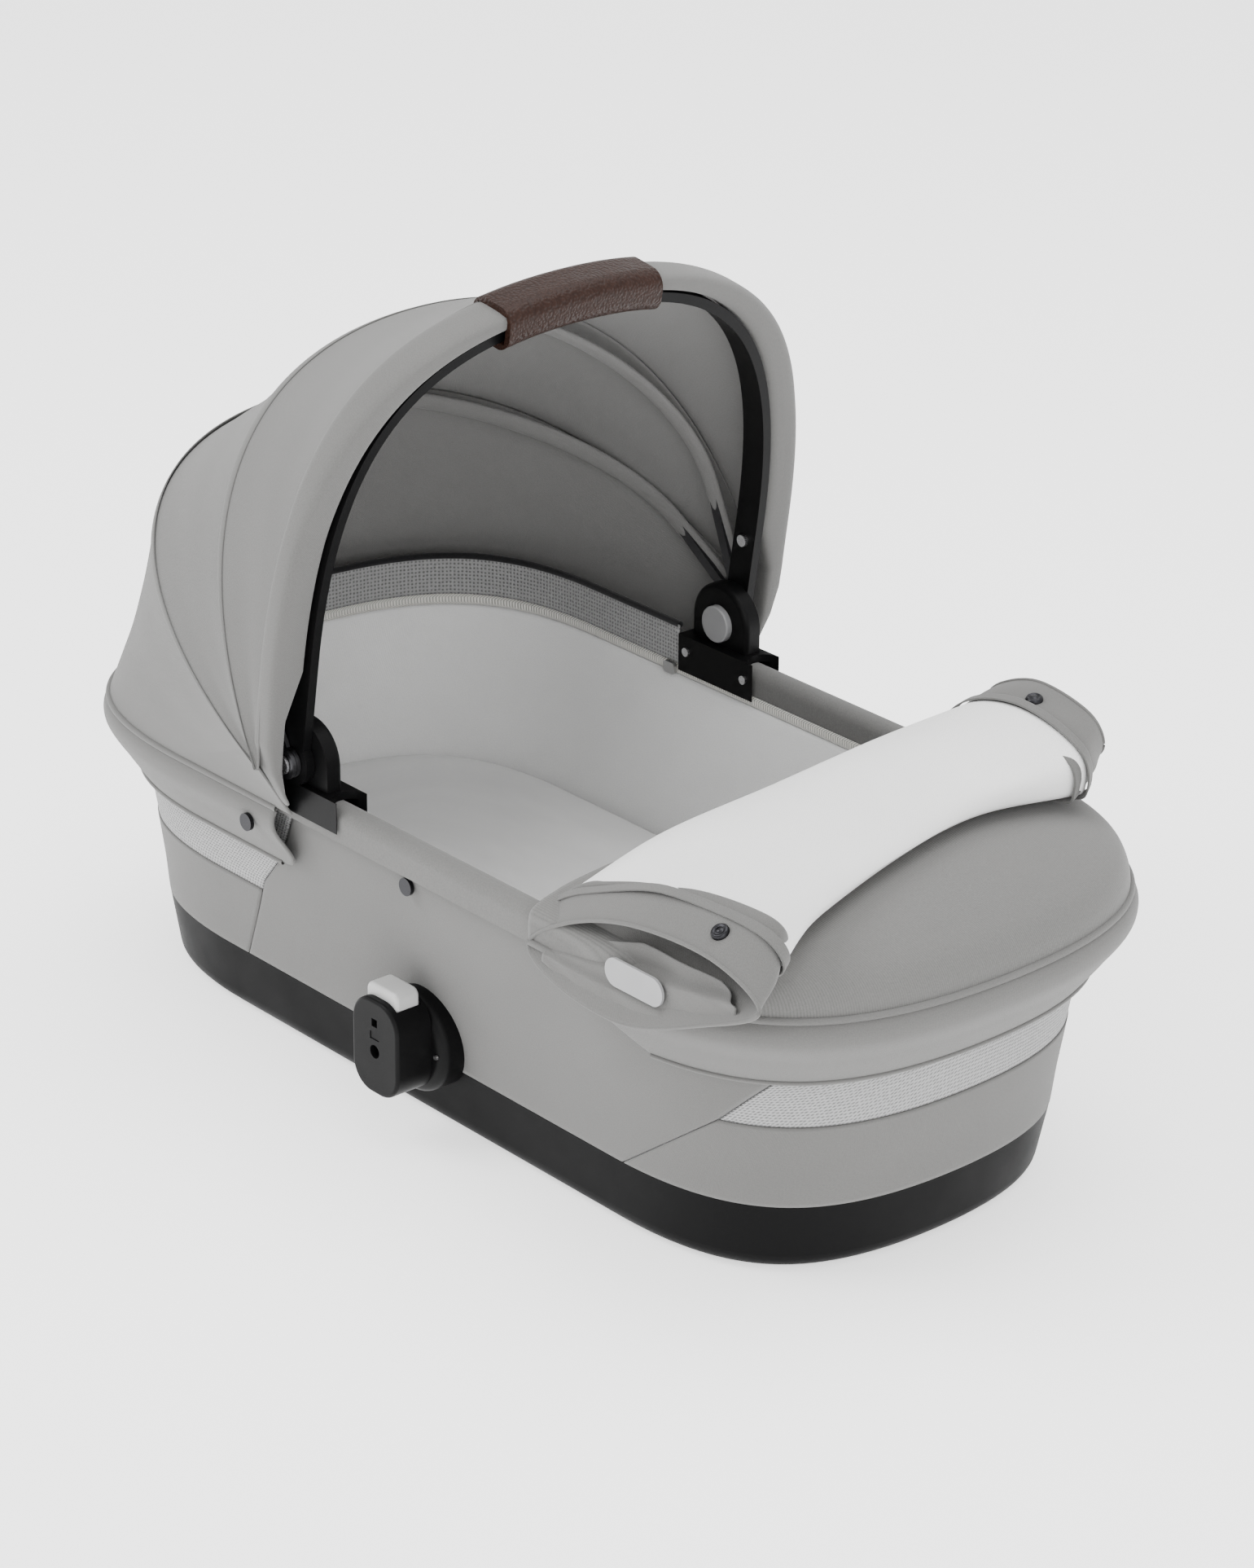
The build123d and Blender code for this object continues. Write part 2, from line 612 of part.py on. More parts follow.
sleeve_front = canopy_plane(BOW_LEAN + SLEEVE_ANGLE)
sleeve_rear = canopy_plane(BOW_LEAN - SLEEVE_ANGLE)
sleeve_arch = (SLEEVE_HALF_WIDTH, CANOPY_SIDE_FOOT, SLEEVE_BASE, SLEEVE_HEIGHT, SLEEVE_FULLNESS)
sleeve_under = (bow_outer + SLEEVE_GAP, CANOPY_SIDE_FOOT, BOW_BASE, bow_crown + SLEEVE_GAP, BOW_FULLNESS)
with BuildPart() as front_sleeve:
    add(arch_loft([(sleeve_front, sleeve_arch), (sleeve_rear, sleeve_arch)]))
    add(arch_loft([(sleeve_front, sleeve_under), (sleeve_rear, sleeve_under)]), mode=Mode.SUBTRACT)
    with BuildSketch(Plane.XZ):
        with Locations(hinge_point):
            Circle(SLEEVE_FOOT)
    extrude(amount=REACH, both=True, mode=Mode.SUBTRACT)
save(front_sleeve.part, "front_sleeve")

grip_bore = SLEEVE_HEIGHT * math.sin(math.radians(SLEEVE_ANGLE)) + GRIP_GAP


def grip_ring(grow, depth):
    """Arch around the bow and its sleeve, grown by a distance and extruded both ways."""
    with BuildPart() as ring:
        with BuildSketch(bow_plane):
            outer = (SLEEVE_HALF_WIDTH + grow, 0, SLEEVE_BASE, SLEEVE_HEIGHT + grow)
            add(arch(*outer, SLEEVE_FULLNESS))
            inner = (BOW_HALF_WIDTH - grow, 0, BOW_BASE, BOW_HEIGHT - grow)
            add(arch(*inner, BOW_FULLNESS), mode=Mode.SUBTRACT)
            with Locations((0, SLEEVE_HEIGHT)):
                Rectangle(2 * GRIP_HALF_LENGTH, SLEEVE_HEIGHT, mode=Mode.INTERSECT)
        extrude(amount=depth, both=True)
    return ring.part


with BuildPart() as grip:
    add(grip_ring(GRIP_GAP + GRIP_WALL, grip_bore + GRIP_WALL))
    long_edges = [edge for edge in grip.edges() if edge.length > 1.8 * GRIP_HALF_LENGTH / 2]
    fillet(long_edges, radius=GRIP_ROUND)
    add(grip_ring(GRIP_GAP, grip_bore), mode=Mode.SUBTRACT)
save(grip.part, "grip")

with BuildPart() as bow_rivets:
    for side in MIRRORED.values():
        rivet_plane = Plane.XZ.offset(-side * (bow_inner - RIVET_HEIGHT))
        lean = math.radians(BOW_LEAN)
        with BuildSketch(rivet_plane):
            with Locations((HINGE_X + RIVET_UP * math.sin(lean), HINGE_Z + RIVET_UP * math.cos(lean))):
                Circle(RIVET_RADIUS)
        extrude(amount=-side * RIVET_HEIGHT)
save(bow_rivets.part, "bow_rivets")

# ---- two ribs inside the canopy, each bent out from its hub ----
RIBS = {
    "mid_rib": (MID_RIB_LEAN, MID_RIB_ELBOW, MID_RIB_SKIN[1] - RIB_INSET, mid_hub_inner),
    "rear_rib": (REAR_RIB_LEAN, REAR_RIB_ELBOW, REAR_RIB_SKIN[1] - RIB_INSET, rear_hub_inner),
}


def rib_shape(foot_half, elbow_half, height):
    """Sketch under a rib: past its hub, out to an elbow, then two curves to the crown."""
    shoulder = RIB_ELBOW + RIB_FULLNESS * (height - RIB_ELBOW)
    side = RIB_FULLNESS * elbow_half
    with BuildSketch(Plane.XY) as shape:
        with BuildLine():
            Line((-foot_half, 0), (foot_half, 0))
            Line((foot_half, 0), (foot_half, RIB_HUB_RADIUS + RIB_BAR))
            Line((foot_half, RIB_HUB_RADIUS + RIB_BAR), (elbow_half, RIB_ELBOW))
            Bezier((elbow_half, RIB_ELBOW), (elbow_half, shoulder), (side, height), (0, height))
            Bezier((0, height), (-side, height), (-elbow_half, shoulder), (-elbow_half, RIB_ELBOW))
            Line((-elbow_half, RIB_ELBOW), (-foot_half, RIB_HUB_RADIUS + RIB_BAR))
            Line((-foot_half, RIB_HUB_RADIUS + RIB_BAR), (-foot_half, 0))
        make_face()
    return shape.sketch


for rib_name, (lean, elbow, crown, hub_face) in RIBS.items():
    with BuildPart() as rib:
        with BuildSketch(canopy_plane(lean)):
            add(rib_shape(hub_face + RIB_HUB_THICKNESS, elbow, crown))
            add(rib_shape(hub_face, elbow - RIB_BAR, crown - RIB_BAR), mode=Mode.SUBTRACT)
        extrude(amount=RIB_WIDTH / 2, both=True)
        add(hub(hub_face, RIB_HUB_THICKNESS, RIB_HUB_RADIUS))
        add(hub(hub_face, RIB_HUB_THICKNESS, pin_bore), mode=Mode.SUBTRACT)
    save(rib.part, rib_name)

# ---- canopy skin: three panels between the sleeve, the ribs and the skirt ----
mid_skin = (MID_RIB_SKIN[0], CANOPY_SIDE_FOOT, RIB_SKIN_BASE, MID_RIB_SKIN[1], RIB_SKIN_FULLNESS)
rear_skin = (REAR_RIB_SKIN[0], CANOPY_SIDE_FOOT, RIB_SKIN_BASE, REAR_RIB_SKIN[1], RIB_SKIN_FULLNESS)
piping_skin = (
    PIPING_OUTLINE[2],
    CANOPY_SIDE_FOOT,
    HINGE_X - HEAD_END_CENTRE,
    PIPING_OUTLINE[1] + HINGE_X,
    END_FULLNESS,
)
piping_plane = Plane(origin=(HINGE_X, 0, PIPING_Z + LAYER_GAP), x_dir=(0, 1, 0), z_dir=(0, 0, 1))
PANELS = {
    "canopy_panel_front": [
        (canopy_plane(MID_RIB_LEAN + PANEL_GAP_ANGLE), mid_skin),
        (canopy_plane(BOW_LEAN - SLEEVE_ANGLE - PANEL_GAP_ANGLE), sleeve_arch),
    ],
    "canopy_panel_middle": [
        (canopy_plane(MID_RIB_LEAN - PANEL_GAP_ANGLE), mid_skin),
        (canopy_plane(REAR_RIB_LEAN + PANEL_GAP_ANGLE), rear_skin),
    ],
    "canopy_panel_rear": [
        (canopy_plane(REAR_RIB_LEAN - PANEL_GAP_ANGLE), rear_skin),
        (piping_plane, piping_skin),
    ],
}
grip_room = GRIP_GAP + GRIP_WALL + LAYER_GAP
for panel_name, sections in PANELS.items():
    with BuildPart() as canopy_panel:
        add(skin(sections))
        if panel_name == "canopy_panel_front":
            add(grip_ring(grip_room, grip_bore + GRIP_WALL + LAYER_GAP), mode=Mode.SUBTRACT)
    save(canopy_panel.part, panel_name)

# ---- side adapters: base on the wall, plate, sliding key and the latch that it draws in ----
for side_name, side in MIRRORED.items():
    with BuildPart() as adapter_base:
        with BuildSketch(Plane.XZ):
            with Locations((ADAPTER_X, ADAPTER_BASE_Z)):
                Ellipse(ADAPTER_BASE[0] / 2, ADAPTER_BASE[1] / 2)
        extrude(amount=-side * ADAPTER_BASE_FACE)
        outer_edges = adapter_base.edges().group_by(Axis.Y)[-1 if side > 0 else 0]
        fillet(outer_edges, radius=ADAPTER_BASE_ROUND)
        add(oval_loft(levels_between(0, RIM_BOTTOM, -LAYER_GAP)), mode=Mode.SUBTRACT)
    save(adapter_base.part, f"adapter_base_{side_name}")

    with BuildPart() as adapter_plate:
        with BuildSketch(Plane.XZ.offset(-side * ADAPTER_BASE_FACE)):
            with Locations((ADAPTER_X, PLATE_Z)):
                RectangleRounded(PLATE_WIDTH, PLATE_HEIGHT, PLATE_ROUND)
        extrude(amount=-side * (PLATE_FACE - ADAPTER_BASE_FACE))
        plate_edges = adapter_plate.edges().group_by(Axis.Y)[-1 if side > 0 else 0]
        fillet(plate_edges, radius=PLATE_EDGE)
        with BuildSketch(Plane.XZ.offset(-side * PLATE_FACE)):
            with Locations((ADAPTER_X, SOCKET_Z)):
                Circle(SOCKET_RADIUS)
        extrude(amount=side * SOCKET_DEPTH, mode=Mode.SUBTRACT)
        with BuildSketch(Plane.XZ.offset(-side * PLATE_FACE)):
            with Locations((ADAPTER_X, KEYWAY_Z)):
                Rectangle(KEYWAY_SIZE, KEYWAY_SIZE)
        extrude(amount=side * KEYWAY_DEPTH, mode=Mode.SUBTRACT)
        with BuildSketch(Plane.XZ.offset(-side * PLATE_FACE)):
            with Locations((ADAPTER_X, LATCH_Z)):
                Rectangle(LATCH_SIZE[0] + 2 * LATCH_CLEARANCE, LATCH_SIZE[1] + 2 * LATCH_CLEARANCE)
        extrude(amount=side * (LATCH_LENGTH + LATCH_TRAVEL + 1), mode=Mode.SUBTRACT)
        with BuildSketch(Plane.XZ.offset(-side * (KEY_BACK - KEY_GAP))):
            with Locations((ADAPTER_X, KEY_BOTTOM - KEY_TRAVEL - KEY_GAP)):
                Rectangle(KEY_WIDTH + 2 * KEY_GAP, PLATE_HEIGHT, align=(Align.CENTER, Align.MIN))
        extrude(amount=-side * (KEY_FRONT - KEY_BACK + 2 * KEY_GAP), mode=Mode.SUBTRACT)
    save(adapter_plate.part, f"adapter_plate_{side_name}")

    with BuildPart() as adapter_key:
        with BuildSketch(Plane.XZ.offset(-side * KEY_BACK)):
            with Locations((ADAPTER_X, (KEY_TOP + KEY_BOTTOM) / 2)):
                RectangleRounded(KEY_WIDTH, KEY_TOP - KEY_BOTTOM, KEY_ROUND)
        extrude(amount=-side * (KEY_FRONT - KEY_BACK))
        fillet(adapter_key.edges().filter_by(Axis.X).group_by(Axis.Z)[-1], radius=KEY_EDGE)
    save(adapter_key.part, f"adapter_key_{side_name}")

    with BuildPart() as adapter_latch:
        with BuildSketch(Plane.XZ.offset(-side * (PLATE_FACE - LATCH_SINK))):
            with Locations((ADAPTER_X, LATCH_Z)):
                Rectangle(*LATCH_SIZE)
        extrude(amount=side * LATCH_LENGTH)
    save(adapter_latch.part, f"adapter_latch_{side_name}")

with BuildPart() as adapter_screws:
    for side in MIRRORED.values():
        with BuildSketch(Plane.XZ.offset(-side * ADAPTER_BASE_FACE)):
            with Locations((ADAPTER_X - SCREW_SPREAD, ADAPTER_BASE_Z), (ADAPTER_X + SCREW_SPREAD, ADAPTER_BASE_Z)):
                Circle(SCREW_RADIUS / 2)
        extrude(amount=-side * SCREW_HEAD)
save(adapter_screws.part, "adapter_screws")

# ---- snaps on the side walls and the skirt, bracket screws and the zip's slider ----
side_snap_face = wall_at(SIDE_SNAP[1] + SNAP_RADIUS)[2] + LAYER_GAP
skirt_snap_face = BULGE_OUTLINE[2] + LAYER_GAP
SNAPS = {
    "side_snaps": (SIDE_SNAP, side_snap_face),
    "skirt_snaps": (SKIRT_SNAP, skirt_snap_face),
}
for snap_name, (point, face) in SNAPS.items():
    with BuildPart() as snaps:
        for side in MIRRORED.values():
            with BuildSketch(Plane.XZ.offset(-side * face)):
                with Locations(point):
                    Circle(SNAP_RADIUS)
            extrude(amount=-side * SNAP_THICKNESS)
    save(snaps.part, snap_name)

screw_face = inner_cheek - BRACKET_CHEEK
with BuildPart() as bracket_screws:
    for side in MIRRORED.values():
        with BuildSketch(Plane.XZ.offset(-side * screw_face)):
            with Locations((BRACKET_REAR + 9, BRACKET_TOP - 12), (BRACKET_FRONT - 9, BRACKET_TOP - 14)):
                Circle(SCREW_RADIUS)
        extrude(amount=side * SCREW_HEAD)
save(bracket_screws.part, "bracket_screws")

slider_face = inner_cheek
with BuildPart() as zip_slider:
    with BuildSketch(Plane.XZ.offset(-slider_face)):
        with Locations((SLIDER_X, (LINER_TOP + ZIP_TOP) / 2)):
            RectangleRounded(SLIDER_LENGTH, ZIP_TOP - LINER_TOP, 2.5)
    extrude(amount=SLIDER_THICKNESS)
save(zip_slider.part, "zip_slider")
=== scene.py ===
import math

import bmesh
import bpy
import mathutils
import numpy as np
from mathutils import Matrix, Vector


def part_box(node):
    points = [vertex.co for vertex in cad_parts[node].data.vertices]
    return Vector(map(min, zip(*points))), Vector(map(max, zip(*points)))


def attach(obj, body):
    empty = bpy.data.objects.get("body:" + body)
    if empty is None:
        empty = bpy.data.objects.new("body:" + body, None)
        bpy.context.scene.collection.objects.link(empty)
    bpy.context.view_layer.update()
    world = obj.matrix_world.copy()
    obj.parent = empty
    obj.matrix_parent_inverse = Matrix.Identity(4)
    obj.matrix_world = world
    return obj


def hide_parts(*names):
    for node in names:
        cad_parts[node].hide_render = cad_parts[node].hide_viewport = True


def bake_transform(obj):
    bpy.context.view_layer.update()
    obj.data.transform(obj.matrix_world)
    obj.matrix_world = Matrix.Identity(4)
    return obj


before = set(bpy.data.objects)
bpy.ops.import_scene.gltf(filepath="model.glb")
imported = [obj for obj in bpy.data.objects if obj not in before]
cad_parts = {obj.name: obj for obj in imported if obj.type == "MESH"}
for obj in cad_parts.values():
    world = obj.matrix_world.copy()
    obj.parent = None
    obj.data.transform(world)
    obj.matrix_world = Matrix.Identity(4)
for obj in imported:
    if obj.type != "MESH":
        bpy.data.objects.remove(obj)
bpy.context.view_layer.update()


# ---- moulded tub and the hard plastic parts ----
# One injection moulding in satin black, with a fine spark-eroded grain.
# Brackets, housings, adapters, hinge buttons and the bow are moulded the same way.
def effect_group(name, inputs, outputs):
    """An empty shader group with its named sockets and its two end nodes."""
    group = bpy.data.node_groups.new(name, "ShaderNodeTree")
    for label, kind in inputs:
        group.interface.new_socket(name=label, in_out="INPUT", socket_type=kind)
    for label, kind in outputs:
        group.interface.new_socket(name=label, in_out="OUTPUT", socket_type=kind)
    return group, group.nodes.new("NodeGroupInput"), group.nodes.new("NodeGroupOutput")


def step(tree, kind, sources=(), **settings):
    """A new node whose inputs are fed in order from sockets or values, None leaving one alone."""
    node = tree.nodes.new(kind)
    for key, value in settings.items():
        setattr(node, key, value)
    for socket, source in zip(node.inputs, sources):
        if isinstance(source, bpy.types.NodeSocket):
            tree.links.new(source, socket)
        elif source is not None:
            socket.default_value = source
    return node


def calc(tree, operation, *sources):
    """The output of one Math node."""
    return step(tree, "ShaderNodeMath", sources, operation=operation).outputs[0]


def varied(tree, colour, noise, amount):
    """A colour times 1 plus an amount times the noise's distance from its middle, doubled."""
    shift = calc(tree, "MULTIPLY", calc(tree, "SUBTRACT", noise, 0.5), amount)
    factor = calc(tree, "MULTIPLY_ADD", shift, 2.0, 1.0)
    return step(tree, "ShaderNodeVectorMath", (colour, None, None, factor), operation="SCALE").outputs[0]


VECTOR, COLOUR, NUMBER = "NodeSocketVector", "NodeSocketColor", "NodeSocketFloat"
moulded, given, made = effect_group(
    "moulded_grain",
    [("Vector", VECTOR), ("Plastic", COLOUR), ("Gloss", NUMBER)],
    [("Colour", COLOUR), ("Roughness", NUMBER), ("Height", NUMBER)],
)
grain = step(moulded, "ShaderNodeTexNoise", (given.outputs["Vector"], None, 1400.0, 2.0, 0.6)).outputs[0]
patches = step(moulded, "ShaderNodeTexNoise", (given.outputs["Vector"], None, 22.0, 3.0, 0.5)).outputs[0]
moulded.links.new(varied(moulded, given.outputs["Plastic"], patches, 0.18), made.inputs["Colour"])
worn = calc(moulded, "MULTIPLY_ADD", calc(moulded, "SUBTRACT", patches, 0.5), 0.25, given.outputs["Gloss"])
moulded.links.new(worn, made.inputs["Roughness"])
moulded.links.new(grain, made.inputs["Height"])


def finish_material(
    name, group, colour, colour_socket, values=(), uses_uv=False, bump=(0.2, 0.0004), **shader
):
    """Principled material fed by one effect group. Constants go straight onto the shader's sockets."""
    material = bpy.data.materials.new(name)
    material.use_nodes = True
    tree = material.node_tree
    principled = tree.nodes["Principled BSDF"]
    place = step(tree, "ShaderNodeTexCoord").outputs["UV" if uses_uv else "Object"]
    effect = step(tree, "ShaderNodeGroup", node_tree=group)
    tree.links.new(place, effect.inputs["Vector"])
    effect.inputs[colour_socket].default_value = (*colour, 1)
    for label, value in values:
        effect.inputs[label].default_value = value
    tree.links.new(effect.outputs["Colour"], principled.inputs["Base Color"])
    if "Roughness" in effect.outputs:
        tree.links.new(effect.outputs["Roughness"], principled.inputs["Roughness"])
    dent = step(tree, "ShaderNodeBump")
    dent.inputs["Strength"].default_value, dent.inputs["Distance"].default_value = bump
    tree.links.new(effect.outputs["Height"], dent.inputs["Height"])
    tree.links.new(dent.outputs["Normal"], principled.inputs["Normal"])
    for label, value in shader.items():
        principled.inputs[label.replace("_", " ")].default_value = value
    material.diffuse_color = (*colour, 1)
    return material


def plastic(name, colour, gloss, **shader):
    """Moulded plastic of one colour, with gloss as its roughness."""
    return finish_material(name, moulded, colour, "Plastic", [("Gloss", gloss)], **shader)


def dress(material, *nodes):
    """Gives CAD nodes that keep their own shape one material."""
    for node in nodes:
        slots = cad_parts[node].material_slots
        for place in slots:
            place.link = "OBJECT"
            place.material = material


tub_plastic = plastic("tub_plastic", (0.0035, 0.0035, 0.0037), 0.5, Specular_IOR_Level=0.06)
frame_plastic = plastic("frame_plastic", (0.0035, 0.0035, 0.0037), 0.42, Specular_IOR_Level=0.09)
button_plastic = plastic("hinge_button_plastic", (0.24, 0.24, 0.245), 0.38)
key_plastic = plastic("adapter_key_plastic", (0.45, 0.45, 0.445), 0.4)
badge_plastic = plastic("badge_rubber", (0.3, 0.3, 0.305), 0.5)
lining_board = plastic("lining_board", (0.33, 0.33, 0.33), 0.8)
dress(tub_plastic, "base_tub")
dress(
    frame_plastic, "rail_bracket_left", "rail_bracket_right", "hinge_housing_left", "hinge_housing_right",
    "front_bow", "adapter_base_left", "adapter_base_right", "adapter_plate_left", "adapter_plate_right",
    "adapter_latch_left", "adapter_latch_right",
)
dress(button_plastic, "hinge_button_left", "hinge_button_right")
dress(key_plastic, "adapter_key_left", "adapter_key_right")
dress(badge_plastic, "badge")
dress(lining_board, "floor_board", "wall_board")


# ---- screws, pins, rivets, ribs and press studs ----
# Zinc-plated screws and rivets, steel pins and spring-steel ribs, with fine turning marks.
# The press studs are gunmetal caps, so they are darker and a little glossier.
metal_marks, given, made = effect_group(
    "metal_marks",
    [("Vector", VECTOR), ("Metal", COLOUR), ("Gloss", NUMBER)],
    [("Colour", COLOUR), ("Roughness", NUMBER), ("Height", NUMBER)],
)
stretched = step(
    metal_marks, "ShaderNodeVectorMath", (given.outputs["Vector"], (400.0, 400.0, 3000.0)),
    operation="MULTIPLY"
).outputs[0]
marks = step(metal_marks, "ShaderNodeTexNoise", (stretched, None, 1.0, 3.0, 0.6)).outputs[0]
metal_marks.links.new(varied(metal_marks, given.outputs["Metal"], marks, 0.12), made.inputs["Colour"])
rubbed = calc(
    metal_marks, "MULTIPLY_ADD", calc(metal_marks, "SUBTRACT", marks, 0.5), 0.3, given.outputs["Gloss"]
)
metal_marks.links.new(rubbed, made.inputs["Roughness"])
metal_marks.links.new(marks, made.inputs["Height"])


def metal(name, colour, gloss):
    """Plated metal with turning marks, gloss as its roughness."""
    return finish_material(
        name, metal_marks, colour, "Metal", [("Gloss", gloss)], bump=(0.1, 0.0002), Metallic=1.0
    )


dress(
    metal("zinc_plate", (0.62, 0.62, 0.63), 0.28), "adapter_screws", "bracket_screws", "bow_rivets",
    "pivot_pins"
)
dress(metal("rib_steel", (0.09, 0.09, 0.095), 0.4), "mid_rib", "rear_rib")
gunmetal = metal("gunmetal", (0.03, 0.03, 0.033), 0.32)
dress(gunmetal, "flap_snaps", "side_snaps", "skirt_snaps")
dress(metal("zip_slider_metal", (0.5, 0.5, 0.5), 0.35), "zip_slider")


# ---- grip ----
# A brown leather wrap sewn round the middle of the bow, with a pebbled grain.
# The grain is a cell pattern about two millimetres across, with painted shade darkening its creases and
# painted light on the pebble tops.
pebbled, given, made = effect_group(
    "pebbled_leather",
    [("Vector", VECTOR), ("Hide", COLOUR)],
    [("Colour", COLOUR), ("Roughness", NUMBER), ("Height", NUMBER)],
)
pebbles = step(
    pebbled, "ShaderNodeTexVoronoi", (given.outputs["Vector"], None, 520.0), feature="SMOOTH_F1"
).outputs["Distance"]
pebble_relief_and_painted_shade = step(pebbled, "ShaderNodeMapRange", (pebbles, 0.1, 0.7, 1.0, 0.0)).outputs[0]
tone = step(pebbled, "ShaderNodeTexNoise", (given.outputs["Vector"], None, 60.0, 3.0, 0.5)).outputs[0]
# Painted shade and light: the colour is darker in the creases and lighter on the pebbles, following the bump.
pebbled.links.new(
    varied(pebbled, varied(pebbled, given.outputs["Hide"], pebble_relief_and_painted_shade, 0.22), tone, 0.2), made.inputs["Colour"]
)
pebbled.links.new(calc(pebbled, "MULTIPLY_ADD", tone, 0.2, 0.3), made.inputs["Roughness"])
pebbled.links.new(pebble_relief_and_painted_shade, made.inputs["Height"])
grip_leather = finish_material(
    "grip_leather", pebbled, (0.021, 0.0088, 0.0058), "Hide", bump=(0.6, 0.0007), Specular_IOR_Level=0.16
)
dress(grip_leather, "grip")


# ---- fabric walls ----
# Heathered woven shell fabric over a board: two sides, and a lower panel at each end.
# Slanted seams divide them, and each is eased a little proud of its board.
END_FULLNESS = 0.72
FOOT_CENTRE, HEAD_CENTRE = 202.0, -221.0
WALL = [(53, 366, 385, 165), (115, 374, 388.5, 173), (157, 380, 391, 181), (209, 386, 392, 193)]
HEAD_SEAM = [(53, -200), (126, -166), (157, -137), (208.7, -105)]
FOOT_SEAM = [(53, 215), (117, 300), (157, 340), (208.7, 352)]
MESH_BOTTOM, WALL_BOTTOM, WALL_TOP = 117.0, 53.4, 208.6
SEAM_GAP = 0.6


def through(table, at):
    """Rows of a table at places between its own, on cubics through them whose slopes come from their
    neighbours."""
    table, at = np.array(table, float), np.atleast_1d(np.array(at, float))
    x, y = table[:, 0], table[:, 1:]
    slope = np.gradient(y, x, axis=0)
    i = np.clip(np.searchsorted(x, at) - 1, 0, len(x) - 2)
    h = (x[i + 1] - x[i])[:, None]
    t = (at - x[i])[:, None] / h
    return (
        (2 * t**3 - 3 * t**2 + 1) * y[i] + (t**3 - 2 * t**2 + t) * h * slope[i]
        + (3 * t**2 - 2 * t**3) * y[i + 1] + (t**3 - t**2) * h * slope[i + 1]
    )


def quarter(fullness=END_FULLNESS, count=160):
    """A quarter of a full oval on a unit square: the cubic curve whose two handles are a share of its
    sides."""
    t = np.linspace(0, 1, count)
    along = 3 * (1 - t) ** 2 * t * fullness + 3 * (1 - t) * t**2 + t**3
    return along, along[::-1]


def end_path(reach, half, centre, start, count):
    """Evenly spaced points round one end, from the near side at x = start over the end to the far side: a
    straight side to the end's centre, then two mirrored quarters of a full oval."""
    along, across = quarter()
    first = (start - centre) / (reach - centre)
    if first < 0:
        along, across = np.r_[first, along], np.r_[1, across]
    else:
        keep = along > first
        along, across = np.r_[first, along[keep]], np.r_[np.interp(first, along, across), across[keep]]
    x, y = centre + (reach - centre) * along, -half * across
    x, y = np.r_[x, x[-2::-1]], np.r_[y, -y[-2::-1]]
    run = np.r_[0, np.cumsum(np.hypot(np.diff(x), np.diff(y)))]
    even = np.linspace(0, run[-1], count)
    return np.stack([np.interp(even, run, x), np.interp(even, run, y)], 1)


def end_grid(end, heights, outlines, starts, count, inset=0.0):
    """One row of points round an end for each height, from outlines of (foot reach, head reach, half
    width)."""
    reach_column, sign, centre = (0, 1, FOOT_CENTRE) if end == "foot" else (1, -1, HEAD_CENTRE)
    rows = [
        np.c_[end_path(sign * (o[reach_column] - inset), o[2] - inset, centre, x, count), np.full(count, z)]
        for z, o, x in zip(heights, outlines, starts)
    ]
    return np.array(rows)


def ring_grid(heights, outlines, count):
    """One closed row for each height: round the foot end, then back round the head end."""
    middle = np.zeros(len(heights))
    foot = end_grid("foot", heights, outlines, middle, count)
    head = end_grid("head", heights, outlines, middle, count)[:, ::-1]
    return np.concatenate([foot[:, :-1], head[:, :-1]], axis=1)


def grid_piece(name, grid, body, away_from=(0, 0, 120), closed=False, wall=0.0, finishes=()):
    """Piece from a grid of points. Each face joins a point to its neighbours and points away from a place.
    The UV map is the length in metres along the rows and up the columns."""
    rows, cols = grid.shape[:2]
    points = grid / 1000
    around = np.concatenate([points, points[:, :1]], axis=1) if closed else points
    u = np.zeros(around.shape[:2])
    u[:, 1:] = np.cumsum(np.linalg.norm(np.diff(around, axis=1), axis=2), axis=1)
    v = np.zeros(around.shape[:2])
    v[1:] = np.cumsum(np.linalg.norm(np.diff(around, axis=0), axis=2), axis=0)
    i, j = np.meshgrid(np.arange(rows - 1), np.arange(cols - (not closed)), indexing="ij")
    ci = np.stack([i, i, i + 1, i + 1], -1).reshape(-1, 4)
    cj = np.stack([j, j + 1, j + 1, j], -1).reshape(-1, 4)
    corners = around[ci, cj]
    facing = np.cross(corners[:, 2] - corners[:, 0], corners[:, 3] - corners[:, 1])
    if (facing * (corners.mean(1) - np.array(away_from) / 1000)).sum() < 0:
        ci, cj = ci[:, ::-1], cj[:, ::-1]
    mesh = bpy.data.meshes.new(name)
    mesh.from_pydata(points.reshape(-1, 3).tolist(), [], (ci * cols + cj % cols).tolist())
    lengths = np.stack([u[ci, cj], v[ci, cj]], -1).astype(np.float32)
    mesh.uv_layers.new(name="cloth").data.foreach_set("uv", lengths.ravel())
    mesh.polygons.foreach_set("use_smooth", np.ones(len(ci), bool))
    for material in finishes:
        mesh.materials.append(material)
    closing = bmesh.new()
    closing.from_mesh(mesh)
    bmesh.ops.remove_doubles(closing, verts=closing.verts, dist=1e-6)
    closing.to_mesh(mesh)
    closing.free()
    mesh.update()
    piece = bpy.data.objects.new(name, mesh)
    bpy.context.scene.collection.objects.link(piece)
    if wall:
        solid = piece.modifiers.new("wall", "SOLIDIFY")
        solid.thickness, solid.offset = wall / 1000, -1
        if len(finishes) > 1:
            solid.material_offset = 1
    if body:
        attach(piece, body)
    return piece


